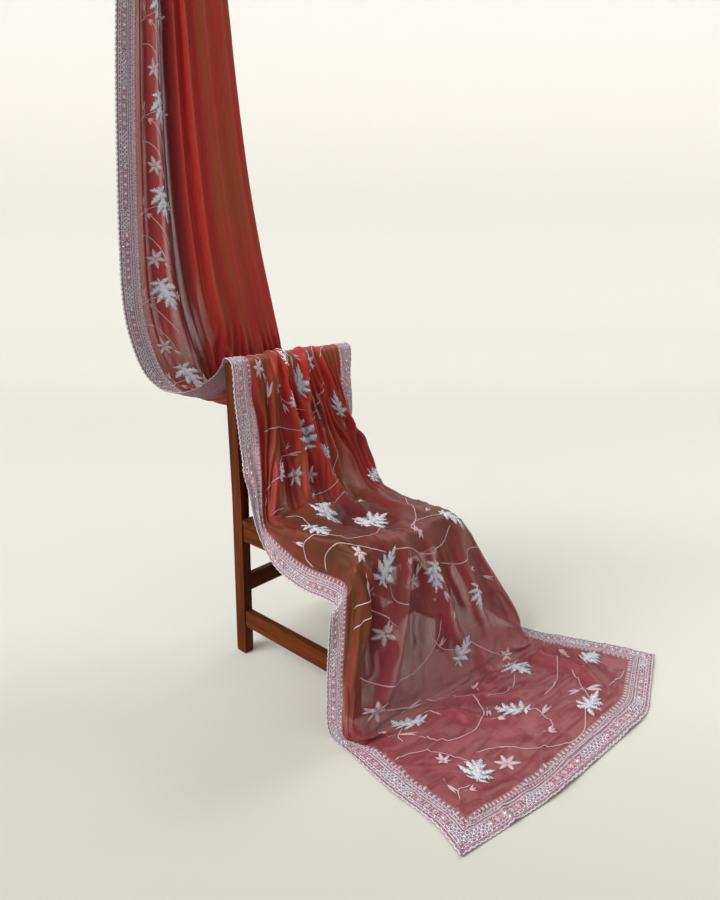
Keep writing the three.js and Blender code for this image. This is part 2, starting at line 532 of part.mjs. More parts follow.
// The crest rail: a board with a slightly crowned top, leaning with the posts.
function crestRail(halfGap) {
  const half = halfGap - JOINT_GAP;
  const shoulder = CREST_RAIL.height - CREST_RAIL.crown;
  const outline = new THREE.Shape();
  outline.moveTo(-half, 0);
  outline.lineTo(half, 0);
  outline.lineTo(half, shoulder);
  outline.quadraticCurveTo(0, CREST_RAIL.height + CREST_RAIL.crown, -half, shoulder);
  const geometry = new THREE.ExtrudeGeometry(outline, {
    depth: CREST_RAIL.thickness, bevelEnabled: false, curveSegments: CROWN_SEGMENTS,
  });
  geometry.rotateX(Math.PI / 2);
  const middle = CREST_RAIL.bottom + CREST_RAIL.height / 2;
  const y = REAR_POST_Y + leanAt(middle) + CREST_RAIL.thickness / 2;
  geometry.translate(0, y, CREST_RAIL.bottom);
  return geometry;
}

// The chair: two bent posts, two legs, the seat's board and the bars between them.
function buildChair() {
  const chair = new THREE.Group();
  const half = LEG_SPREAD / 2;
  const postGap = half - REAR_POST.width / 2;
  const legGap = half - FRONT_LEG.width / 2;
  const apronBottom = SEAT.top - SEAT.thickness - JOINT_GAP - APRON.height;
  const midRailY = REAR_POST_Y + leanAt(MID_RAIL.bottom);
  for (const [side, sign] of [["left", -1], ["right", 1]]) {
    chair.add(part(`rear_post_${side}`, rearPost(sign * half), WOOD));
    chair.add(part(`front_leg_${side}`, frontLeg(sign * half), WOOD));
    chair.add(part(`apron_${side}`, sideBar(sign * half, apronBottom, APRON.height, APRON.thickness), WOOD));
    chair.add(part(`stretcher_${side}`,
      sideBar(sign * half, SIDE_STRETCHER.bottom, SIDE_STRETCHER.height, SIDE_STRETCHER.thickness), WOOD));
  }
  chair.add(part("seat_board", seatBoard(), WOOD));
  for (const [end, gap, y] of [["front", legGap, FRONT_LEG_Y], ["rear", postGap, REAR_POST_Y]]) {
    chair.add(part(`apron_${end}`, crossBar(gap, y, apronBottom, APRON.height, APRON.thickness), WOOD));
    chair.add(part(`stretcher_${end}`,
      crossBar(gap, y, CROSS_STRETCHER.bottom, CROSS_STRETCHER.height, CROSS_STRETCHER.thickness), WOOD));
  }
  chair.add(part("mid_rail",
    crossBar(postGap, midRailY, MID_RAIL.bottom, MID_RAIL.height, MID_RAIL.thickness), WOOD));
  chair.add(part("crest_rail", crestRail(postGap), WOOD));
  return chair;
}

const saree = new THREE.Group();
saree.add(buildChair(), buildCloth());

// The origin is the middle of the whole footprint, at floor level.
const bounds = new THREE.Box3().setFromObject(saree, true);
const centre = bounds.getCenter(new THREE.Vector3());
saree.position.set(-centre.x, -centre.y, -bounds.min.z);
saree.updateMatrixWorld(true);

export default saree;
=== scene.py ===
"""A sheer embroidered saree, looped behind a plain wooden chair and draped over it.

The saree is drawn flat on its own cut: x runs across the cloth from its left edge, y along it from
the cut at the top, and z above its outer face, all in metres. What is drawn is then laid on the
drape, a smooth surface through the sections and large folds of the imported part.
"""

from __future__ import annotations

import logging
import math
from dataclasses import dataclass, field
from enum import Enum

import bmesh
import bpy
import numpy as np
from mathutils import Matrix, Vector

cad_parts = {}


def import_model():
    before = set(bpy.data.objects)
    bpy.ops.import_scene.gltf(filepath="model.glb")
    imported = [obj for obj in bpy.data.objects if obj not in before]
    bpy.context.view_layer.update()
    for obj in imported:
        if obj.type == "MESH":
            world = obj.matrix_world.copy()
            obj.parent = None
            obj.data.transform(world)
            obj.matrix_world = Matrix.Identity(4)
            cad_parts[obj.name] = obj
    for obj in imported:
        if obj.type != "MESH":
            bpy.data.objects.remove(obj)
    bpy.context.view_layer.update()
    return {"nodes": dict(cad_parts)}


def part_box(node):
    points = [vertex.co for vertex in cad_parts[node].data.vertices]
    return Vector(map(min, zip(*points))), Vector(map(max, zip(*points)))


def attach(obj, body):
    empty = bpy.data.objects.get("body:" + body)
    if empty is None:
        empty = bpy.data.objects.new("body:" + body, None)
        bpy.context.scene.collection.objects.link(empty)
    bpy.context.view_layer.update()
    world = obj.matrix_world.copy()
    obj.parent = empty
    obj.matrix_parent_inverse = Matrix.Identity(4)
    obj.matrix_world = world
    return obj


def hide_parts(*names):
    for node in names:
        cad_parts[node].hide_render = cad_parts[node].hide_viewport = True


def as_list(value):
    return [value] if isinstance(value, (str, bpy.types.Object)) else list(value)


LOG = logging.getLogger("saree")
Point = tuple[float, float, float]
Spot = tuple[float, float]
Colour = tuple[float, float, float]
Piece = bpy.types.Object
Material = bpy.types.Material
Tree = bpy.types.NodeTree
Socket = bpy.types.NodeSocket

CLOTH_WIDTH = 1.1
BORDER_WIDTH = 0.075
FIELD_LAP = 0.004
CLOTH_WALL = 0.0016
BEND_SOFTNESS = 0.045
BORDER_SHARE = 0.62
BEND_SAMPLES = ((-1.0, 0.12), (-0.5, 0.23), (0.0, 0.3), (0.5, 0.23), (1.0, 0.12))
SEAT_TOP = 0.475
SEAT_HALF_WIDTH = 0.245
SEAT_FRONT = -0.268
SEAT_BACK = 0.221
SEAT_MIDDLE = -0.0235
SEAT_REACH_ABOVE = 0.006
SEAT_REACH_BELOW = 0.04
CLOTH_LIFT = 0.0004


@dataclass(frozen=True)
class Section:
    """One section across the cloth, at a distance s along it."""

    s: float
    left: Point
    left_bend: Point
    right_bend: Point
    right: Point
    left_at: float
    right_at: float


@dataclass(frozen=True)
class Fold:
    """A soft ridge or hollow along a path of (s, across) points."""

    path: tuple[Spot, ...]
    width: float
    height: float
    fade_in: float
    fade_out: float


SECTIONS: tuple[Section, ...] = tuple(Section(*row) for row in (
    # Top hem.
    (0.0, (-0.336, 0.632, 2.2), (-0.178, 0.625, 2.2), (0.066, 0.585, 2.2), (-0.165, 0.672, 2.2),
     0.27, 0.77),
    # Hanging.
    (0.3, (-0.359, 0.632, 1.9), (-0.18, 0.622, 1.9), (0.098, 0.585, 1.9), (-0.14, 0.68, 1.9),
     0.27, 0.77),
    (0.6, (-0.376, 0.63, 1.6), (-0.176, 0.618, 1.6), (0.14, 0.585, 1.6), (-0.108, 0.688, 1.6),
     0.27, 0.77),
    (0.87, (-0.388, 0.626, 1.33), (-0.158, 0.612, 1.33), (0.191, 0.582, 1.33),
     (-0.07, 0.69, 1.33), 0.27, 0.77),
    (1.055, (-0.39, 0.62, 1.15), (-0.14, 0.606, 1.145), (0.236, 0.58, 1.14),
     (-0.025, 0.688, 1.145), 0.26, 0.77),
    # Loop.
    (1.18, (-0.374, 0.612, 1.03), (-0.12, 0.597, 1.02), (0.257, 0.572, 1.015),
     (0.03, 0.682, 1.01), 0.25, 0.775),
    (1.3, (-0.341, 0.594, 0.922), (-0.1, 0.575, 0.9), (0.262, 0.555, 0.905), (0.1, 0.662, 0.892),
     0.24, 0.78),
    (1.385, (-0.304, 0.553, 0.868), (-0.09, 0.53, 0.824), (0.255, 0.512, 0.828),
     (0.17, 0.6, 0.795), 0.23, 0.79),
    (1.455, (-0.276, 0.492, 0.86), (-0.085, 0.46, 0.794), (0.23, 0.45, 0.797),
     (0.225, 0.51, 0.75), 0.22, 0.8),
    (1.535, (-0.252, 0.42, 0.884), (-0.085, 0.385, 0.812), (0.19, 0.378, 0.822),
     (0.252, 0.405, 0.775), 0.21, 0.81),
    (1.62, (-0.236, 0.344, 0.933), (-0.09, 0.324, 0.89), (0.145, 0.322, 0.895),
     (0.262, 0.332, 0.872), 0.205, 0.82),
    # Behind the rail.
    (1.7, (-0.242, 0.298, 0.97), (-0.1, 0.297, 0.972), (0.115, 0.297, 0.975),
     (0.282, 0.295, 0.975), 0.2, 0.83),
    # On the rail.
    (1.74, (-0.257, 0.262, 0.996), (-0.11, 0.262, 0.996), (0.108, 0.262, 0.998),
     (0.288, 0.258, 1.0), 0.2, 0.83),
    # Front of the rail.
    (1.78, (-0.258, 0.228, 0.98), (-0.112, 0.225, 0.982), (0.108, 0.225, 0.985),
     (0.286, 0.226, 0.988), 0.2, 0.83),
    # Back.
    (1.87, (-0.258, 0.22, 0.88), (-0.118, 0.21, 0.88), (0.15, 0.2, 0.88), (0.282, 0.224, 0.885),
     0.195, 0.83),
    (2.008, (-0.25, 0.21, 0.745), (-0.13, 0.196, 0.745), (0.222, 0.186, 0.745),
     (0.286, 0.23, 0.748), 0.19, 0.83),
    (2.138, (-0.272, 0.158, 0.622), (-0.165, 0.16, 0.63), (0.285, 0.16, 0.63),
     (0.292, 0.25, 0.632), 0.18, 0.835),
    # Foot of the back.
    (2.265, (-0.28, 0.1, 0.485), (-0.235, 0.09, 0.514), (0.294, 0.08, 0.512),
     (0.296, 0.15, 0.43), 0.17, 0.84),
    # Seat.
    (2.345, (-0.281, 0.025, 0.398), (-0.257, 0.02, 0.522), (0.286, 0.005, 0.492),
     (0.302, 0.06, 0.33), 0.165, 0.85),
    (2.49, (-0.281, -0.09, 0.36), (-0.257, -0.12, 0.524), (0.268, -0.12, 0.488),
     (0.298, -0.06, 0.32), 0.165, 0.85),
    (2.64, (-0.282, -0.212, 0.36), (-0.252, -0.262, 0.528), (0.262, -0.268, 0.484),
     (0.3, -0.18, 0.31), 0.165, 0.85),
    (2.682, (-0.29, -0.248, 0.358), (-0.254, -0.294, 0.502), (0.287, -0.284, 0.452),
     (0.308, -0.205, 0.29), 0.165, 0.85),
    # Fall.
    (2.78, (-0.332, -0.262, 0.35), (-0.262, -0.304, 0.405), (0.335, -0.314, 0.345),
     (0.34, -0.225, 0.235), 0.17, 0.85),
    (2.91, (-0.342, -0.262, 0.255), (-0.285, -0.318, 0.27), (0.4, -0.36, 0.215),
     (0.385, -0.25, 0.15), 0.18, 0.85),
    (3.05, (-0.348, -0.262, 0.14), (-0.3, -0.33, 0.13), (0.462, -0.4, 0.095),
     (0.452, -0.282, 0.06), 0.19, 0.85),
    # Turn on to the floor.
    (3.18, (-0.338, -0.262, 0.012), (-0.3, -0.345, 0.008), (0.428, -0.47, 0.008),
     (0.513, -0.37, 0.003), 0.2, 0.85),
    # Floor.
    (3.29, (-0.352, -0.37, 0.0016), (-0.2, -0.43, 0.0016), (0.432, -0.548, 0.0016),
     (0.538, -0.462, 0.0016), 0.25, 0.85),
    (3.44, (-0.374, -0.516, 0.0016), (-0.15, -0.575, 0.0016), (0.402, -0.65, 0.0016),
     (0.588, -0.58, 0.0016), 0.3, 0.8),
    (3.58, (-0.382, -0.646, 0.0016), (-0.118, -0.716, 0.0016), (0.366, -0.778, 0.0016),
     (0.634, -0.706, 0.0016), 0.33, 0.78),
    # End hem.
    (3.68, (-0.414, -0.74, 0.0016), (-0.11, -0.823, 0.0016), (0.338, -0.889, 0.0016),
     (0.661, -0.803, 0.0016), 0.35, 0.76),
))

# The large folds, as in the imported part.
FOLDS: tuple[Fold, ...] = tuple(Fold(*row) for row in (
    # Hanging.
    (((-0.06, 0.118), (1.18, 0.112), (1.42, 0.112)), 0.03, -0.012, 0, 0.35),
    (((-0.06, 0.18), (0.6, 0.178), (1.18, 0.182), (1.4, 0.19)), 0.034, 0.022, 0, 0.3),
    (((-0.06, 0.268), (0.6, 0.262), (1.18, 0.246), (1.42, 0.23)), 0.03, -0.026, 0, 0.3),
    (((-0.06, 0.318), (0.6, 0.322), (1.18, 0.318)), 0.024, 0.015, 0, 0.25),
    (((-0.06, 0.382), (0.6, 0.405), (1.18, 0.392), (1.42, 0.38)), 0.024, 0.02, 0, 0.3),
    (((-0.06, 0.44), (0.6, 0.455), (1.18, 0.445)), 0.026, -0.016, 0, 0.25),
    (((-0.06, 0.5), (0.5, 0.515), (1.15, 0.52), (1.4, 0.52)), 0.034, 0.013, 0, 0.3),
    (((-0.06, 0.585), (0.7, 0.6), (1.2, 0.6)), 0.03, -0.014, 0, 0.3),
    (((-0.06, 0.665), (0.7, 0.67), (1.25, 0.67)), 0.03, 0.009, 0, 0.3),
    # Turned layer.
    (((-0.06, 0.93), (1.15, 0.93)), 0.028, -0.014, 0, 0.3),
    (((-0.06, 1.0), (1.15, 1.0)), 0.026, 0.012, 0, 0.3),
    # Loop.
    (((1.23, 0.25), (1.45, 0.33), (1.7, 0.3)), 0.04, -0.014, 0.3, 0.3),
    (((1.23, 0.48), (1.45, 0.52), (1.7, 0.47)), 0.04, -0.016, 0.3, 0.3),
    (((1.25, 0.64), (1.45, 0.7), (1.7, 0.64)), 0.04, -0.014, 0.3, 0.3),
    # Back.
    (((1.56, 0.3), (1.746, 0.29), (1.845, 0.212), (2.08, 0.19), (2.33, 0.175)),
     0.028, 0.024, 0.25, 0.12),
    (((1.56, 0.42), (1.74, 0.4), (1.851, 0.318), (2.026, 0.375), (2.34, 0.35)),
     0.03, 0.03, 0.25, 0.12),
    (((1.6, 0.72), (1.734, 0.7), (1.8, 0.59), (1.927, 0.485), (2.09, 0.462), (2.29, 0.56),
     (2.42, 0.54)), 0.028, 0.03, 0.2, 0.15),
    (((1.64, 0.6), (1.74, 0.77), (1.866, 0.705), (1.964, 0.628), (2.1, 0.56)),
     0.02, 0.015, 0.25, 0.3),
    (((1.64, 0.84), (1.759, 0.83), (1.903, 0.8), (2.044, 0.828), (2.188, 0.85), (2.3, 0.83)),
     0.026, 0.02, 0.2, 0.2),
    (((1.8, 0.262), (1.95, 0.275), (2.14, 0.28), (2.28, 0.27)), 0.026, -0.009, 0.2, 0.2),
    (((1.84, 0.42), (1.99, 0.43), (2.15, 0.425), (2.3, 0.44)), 0.024, -0.009, 0.2, 0.2),
    # Seat.
    (((2.33, 0.42), (2.48, 0.5), (2.6, 0.56)), 0.13, -0.04, 0.3, 0.3),
    (((2.3, 0.25), (2.33, 0.42), (2.345, 0.52)), 0.028, 0.014, 0.3, 0.3),
    (((2.38, 0.172), (2.52, 0.165), (2.64, 0.19)), 0.028, 0.01, 0.3, 0.2),
    (((2.6, 0.2), (2.668, 0.33), (2.682, 0.52), (2.668, 0.7)), 0.03, 0.014, 0.15, 0.4),
    (((2.3, 0.6), (2.42, 0.56), (2.56, 0.43), (2.66, 0.32)), 0.026, 0.016, 0.2, 0.2),
    (((2.25, 0.8), (2.4, 0.7), (2.56, 0.69), (2.66, 0.72)), 0.03, 0.01, 0.25, 0.3),
    # Fall.
    (((2.69, 0.19), (2.85, 0.172), (3.08, 0.14)), 0.03, 0.026, 0.12, 0.3),
    (((2.7, 0.262), (2.85, 0.24), (3.06, 0.215)), 0.03, -0.018, 0.15, 0.3),
    (((2.65, 0.4), (2.73, 0.4), (2.888, 0.345), (3.042, 0.29), (3.15, 0.24)),
     0.028, 0.026, 0.15, 0.2),
    (((2.74, 0.47), (2.9, 0.43), (3.08, 0.38)), 0.034, -0.02, 0.2, 0.3),
    (((2.68, 0.54), (2.86, 0.555), (2.992, 0.552), (3.13, 0.6)), 0.026, 0.022, 0.15, 0.3),
    (((2.72, 0.63), (2.88, 0.62), (3.06, 0.64)), 0.028, -0.014, 0.2, 0.3),
    (((2.64, 0.8), (2.796, 0.712), (2.968, 0.682), (3.22, 0.69)), 0.028, 0.02, 0.15, 0.35),
    (((2.76, 0.79), (2.95, 0.76), (3.1, 0.76)), 0.026, -0.012, 0.2, 0.3),
    (((2.68, 0.85), (2.934, 0.846), (3.15, 0.846)), 0.028, 0.008, 0.2, 0.3),
    # Floor.
    (((3.06, 0.64), (3.2, 0.65), (3.275, 0.618), (3.29, 0.56)), 0.024, 0.016, 0.3, 0.3),
    (((3.185, 0.33), (3.29, 0.4), (3.4, 0.43), (3.52, 0.56)), 0.024, 0.014, 0.2, 0.3),
    (((3.15, 0.43), (3.269, 0.47), (3.355, 0.545), (3.43, 0.69)), 0.024, 0.017, 0.25, 0.3),
    (((3.2, 0.8), (3.33, 0.8), (3.48, 0.8), (3.6, 0.74)), 0.026, 0.026, 0.2, 0.25),
    (((3.22, 0.9), (3.33, 0.93), (3.45, 0.96), (3.56, 1.0)), 0.024, 0.015, 0.25, 0.3),
))

# Finer folds that only the sewn cloth has.
FINE_FOLDS: tuple[Fold, ...] = tuple(Fold(*row) for row in (
    # Hanging.
    (((-0.06, 0.094), (1.18, 0.092), (1.38, 0.092)), 0.01, 0.006, 0, 0.3),
    (((-0.06, 0.352), (1.15, 0.356)), 0.016, -0.01, 0, 0.25),
    (((-0.06, 0.225), (0.5, 0.222), (1.2, 0.214)), 0.012, -0.0044, 0, 0.25),
    (((-0.06, 0.42), (0.6, 0.432), (1.2, 0.42)), 0.01, 0.007, 0, 0.25),
    (((-0.06, 0.47), (0.6, 0.484), (1.2, 0.482)), 0.012, 0.00495, 0, 0.25),
    (((-0.06, 0.545), (0.6, 0.556), (1.2, 0.56)), 0.013, 0.01, 0, 0.25),
    (((-0.06, 0.622), (0.6, 0.634), (1.2, 0.636)), 0.013, 0.0055, 0, 0.25),
    (((-0.06, 0.705), (0.6, 0.708), (1.2, 0.712)), 0.012, -0.009, 0, 0.25),
    # Turned layer.
    (((-0.06, 0.842), (1.2, 0.846)), 0.016, -0.0066, 0, 0.25),
    (((-0.06, 0.89), (1.2, 0.89)), 0.013, 0.0055, 0, 0.25),
    (((-0.06, 0.965), (1.2, 0.965)), 0.012, 0.00495, 0, 0.25),
    # Wing.
    (((1.85, 0.9), (2.05, 0.7), (2.25, 0.68)), 0.04, -0.008, 0.25, 0.25),
    (((1.8, 0.93), (1.98, 0.88), (2.2, 0.9)), 0.014, 0.008, 0.3, 0.3),
    (((1.82, 0.975), (2.0, 0.94), (2.24, 0.95)), 0.012, -0.007, 0.3, 0.3),
    # Back.
    (((1.78, 0.15), (1.98, 0.145), (2.2, 0.14)), 0.012, 0.006, 0.3, 0.3),
    (((1.84, 0.56), (1.97, 0.5), (2.1, 0.4)), 0.012, 0.007, 0.3, 0.4),
    # Fall.
    (((2.7, 0.42), (2.784, 0.505), (2.89, 0.505)), 0.016, 0.012, 0.2, 0.4),
    (((2.69, 0.33), (2.8, 0.3), (3.0, 0.25)), 0.01, 0.008, 0.2, 0.4),
    (((2.655, 0.125), (2.8, 0.185), (3.06, 0.215)), 0.016, 0.016, 0.12, 0.4),
    (((2.665, 0.15), (2.82, 0.265), (3.04, 0.345)), 0.015, 0.013, 0.15, 0.4),
    (((2.69, 0.15), (2.84, 0.225), (3.05, 0.28)), 0.018, -0.012, 0.15, 0.4),
    (((2.7, 0.62), (2.88, 0.64), (3.1, 0.62)), 0.018, 0.012, 0.2, 0.4),
    (((2.69, 0.9), (2.9, 0.895), (3.1, 0.9)), 0.014, 0.007, 0.2, 0.4),
    # Floor.
    (((3.12, 0.12), (3.17, 0.2), (3.25, 0.3)), 0.018, 0.014, 0.25, 0.3),
    (((3.37, 0.04), (3.434, 0.15), (3.52, 0.33)), 0.016, 0.008, 0.25, 0.3),
    (((3.18, 0.52), (3.27, 0.56), (3.38, 0.62)), 0.013, 0.009, 0.25, 0.3),
    (((3.45, 0.38), (3.53, 0.47), (3.57, 0.62)), 0.013, 0.007, 0.25, 0.3),
    (((3.235, 0.6), (3.26, 0.545), (3.31, 0.55), (3.32, 0.6)), 0.012, 0.009, 0.25, 0.3),
    (((3.26, 0.86), (3.38, 0.87), (3.52, 0.9)), 0.012, 0.01, 0.25, 0.3),
    (((3.3, 0.99), (3.42, 1.0), (3.54, 1.01)), 0.012, 0.008, 0.3, 0.3),
    (((3.6, 0.25), (3.585, 0.4), (3.6, 0.55)), 0.012, 0.006, 0.3, 0.3),
))


@dataclass(frozen=True)
class Creases:
    """A seeded net of fine creases between two distances along the cloth."""

    start: float
    end: float
    along: float
    across: float
    height: float
    sharpness: float
    seed: int


CREASES: tuple[Creases, ...] = tuple(Creases(*row) for row in (
    (0.0, 1.35, 0.62, 0.016, 0.0022, 0.0, 11),
    (0.0, 1.35, 0.9, 0.007, 0.001, 0.0, 12),
    (1.2, 1.75, 0.1, 0.045, 0.004, 0.5, 13),
    (1.78, 2.3, 0.12, 0.034, 0.004, 0.4, 14),
    (2.22, 2.74, 0.05, 0.085, 0.006, 0.5, 15),
    (2.22, 2.74, 0.11, 0.036, 0.004, 0.4, 19),
    (2.68, 3.2, 0.2, 0.034, 0.0034, 0.5, 16),
    (3.1, 3.68, 0.05, 0.12, 0.01, 0.85, 17),
    (3.1, 3.68, 0.028, 0.07, 0.0055, 0.85, 18),
    (2.7, 3.2, 0.09, 0.045, 0.005, 0.8, 20),
))
CREASE_MARGIN = 0.06


@dataclass(frozen=True)
class Stretch:
    """A stretch of the cloth that shows, between two distances along it, and what holds it."""

    name: str
    start: float
    end: float
    held: str
    rests_on: tuple[str, ...] = ()


STRETCHES: tuple[Stretch, ...] = (
    Stretch("hanging", 0.0, 1.18, "hung"),
    Stretch("loop", 1.18, 1.7, "gathered", ("crest_rail",)),
    Stretch("back", 1.7, 2.265, "draped", ("crest_rail",)),
    Stretch("seat", 2.265, 2.682, "laid", ("seat_board",)),
    Stretch("fall", 2.682, 3.18, "draped", ("seat_board",)),
    Stretch("floor", 3.18, 3.605, "laid"),
)
CLOTH_LENGTH = SECTIONS[-1].s

# Small gathers: their pitch, how narrow and how full they get, the noise by which they wander,
# and how much of the spare width they take up at distances along the cloth.
GATHER_PITCH = 0.052
GATHER_NARROWEST = 0.25
GATHER_MOST = 1.8
GATHER_SEED = 21
GATHER_WANDER = (0.22, 0.09)
GATHERED = ((0.0, 0.1), (1.1, 0.1), (1.27, 1.0), (1.62, 0.9), (1.73, 0.35), (1.8, 0.35),
            (1.9, 0.85), (2.15, 0.85), (2.28, 0.35), (2.42, 0.0), (2.7, 0.0), (2.85, 0.2),
            (3.1, 0.0))

# The cloth is pulled smooth where it goes over the crest rail.
RAIL_AT = 1.745
RAIL_REACH = 0.055
RAIL_CALM = 0.68

# The hanging cloth is plainer to the right of PLAIN_FROM and sheer to the left of SHEER_TO: how far
# each goes, and over what distances across and along the cloth it sets in and ends.
PLAIN_FROM = 0.4
PLAIN_TO = 1.28
PLAIN_SOFTNESS = (0.08, 0.22)
PLAIN_CALM = 0.8
SHEER_TO = 0.34
SHEER_END = 1.42
SHEER_SOFTNESS = (0.07, 0.2)
SHEER_SHARE = 0.22


@dataclass(frozen=True)
class Patch:
    """A place where the cloth lies closer or opens up, darkened by painted shade or more golden."""

    s: float
    across: float
    reach: Spot
    dense: float = 0.0
    shade: float = 0.0
    gold: float = 0.0


PATCHES: tuple[Patch, ...] = tuple(Patch(*row) for row in (
    (1.96, 0.6, (0.13, 0.05), -0.62), (2.08, 0.84, (0.11, 0.08), -0.4),
    (2.36, 0.5, (0.08, 0.12), -0.22), (2.9, 0.14, (0.28, 0.09), 0.42, -0.58, 0.5),
    (3.02, 0.4, (0.14, 0.12), -0.12), (0.6, 0.225, (1.0, 0.05), -0.26, -0.14, 0.45),
    (2.74, 0.88, (0.12, 0.1), -0.1), (2.02, 0.19, (0.24, 0.07), 0.0, -0.34, 0.25),
    (2.78, 0.17, (0.1, 0.08), 0.0, -0.38, 0.2), (2.55, 0.13, (0.12, 0.11), 0.15, -0.3, 0.1),
))

# At distances along the cloth: how close it stands, the painted light and shade on its organza,
# the painted light and shade on its border, and how golden the organza looks, a painted gold sheen.
DENSITY = ((0.0, 0.74), (1.1, 0.78), (1.3, 0.95), (2.05, 0.93), (2.22, 0.78), (2.4, 0.62),
           (2.7, 0.42), (3.2, 0.17), (3.7, 0.12))
PAINTED_SHADING = ((0.0, 1.26), (1.15, 1.24), (1.32, 0.8), (1.66, 0.8), (1.76, 1.08), (2.08, 1.08),
         (2.24, 0.78), (2.34, 0.62), (2.6, 0.6), (2.69, 0.95), (2.85, 1.34), (3.7, 1.3))
PAINTED_BORDER_SHADING = ((0.0, 0.75), (1.2, 0.75), (1.35, 0.66), (1.66, 0.6), (1.76, 1.3), (2.2, 1.3),
        (2.36, 0.82), (2.65, 0.8), (2.75, 0.84), (3.2, 0.86), (3.7, 0.9))
GLOW = ((0.0, -0.1), (1.2, -0.08), (1.7, 0.1), (2.3, 0.24), (2.75, 0.34), (3.0, 0.2),
        (3.15, -0.2), (3.25, -0.55), (3.7, -0.6))
# Slopes that count as steep and as fully open, and the rise that counts as a full crest.
STEEP_SLOPE = 0.75
OPEN_DENSITY = 0.75
CREST_RISE = 0.022
CREASE_RISE = 1.8


def eased(value: np.ndarray) -> np.ndarray:
    """A smooth step from 0 to 1, for shares that are clipped to that."""
    share = np.clip(value, 0.0, 1.0)
    return share * share * (3.0 - 2.0 * share)


def lattice_noise(seed: int, along: np.ndarray, across: np.ndarray, cell: Spot) -> np.ndarray:
    """Smooth noise from -1 to 1 from a seeded lattice.

    Args:
        seed: The seed of the lattice.
        along: Distances along the cloth.
        across: Distances across the cloth.
        cell: The lattice's cell, along and across.

    Returns:
        One value for each place, along by across.
    """
    rows, columns = int(along[-1] / cell[0]) + 3, int(across[-1] / cell[1]) + 3
    lattice = np.random.default_rng(seed).uniform(-1.0, 1.0, (rows, columns))
    row, column = (along / cell[0]).astype(int), (across / cell[1]).astype(int)
    down = eased(along / cell[0] - row)[:, None]
    right = eased(across / cell[1] - column)[None, :]
    upper = lattice[row][:, column] * (1 - right) + lattice[row][:, column + 1] * right
    lower = lattice[row + 1][:, column] * (1 - right) + lattice[row + 1][:, column + 1] * right
    return upper * (1 - down) + lower * down


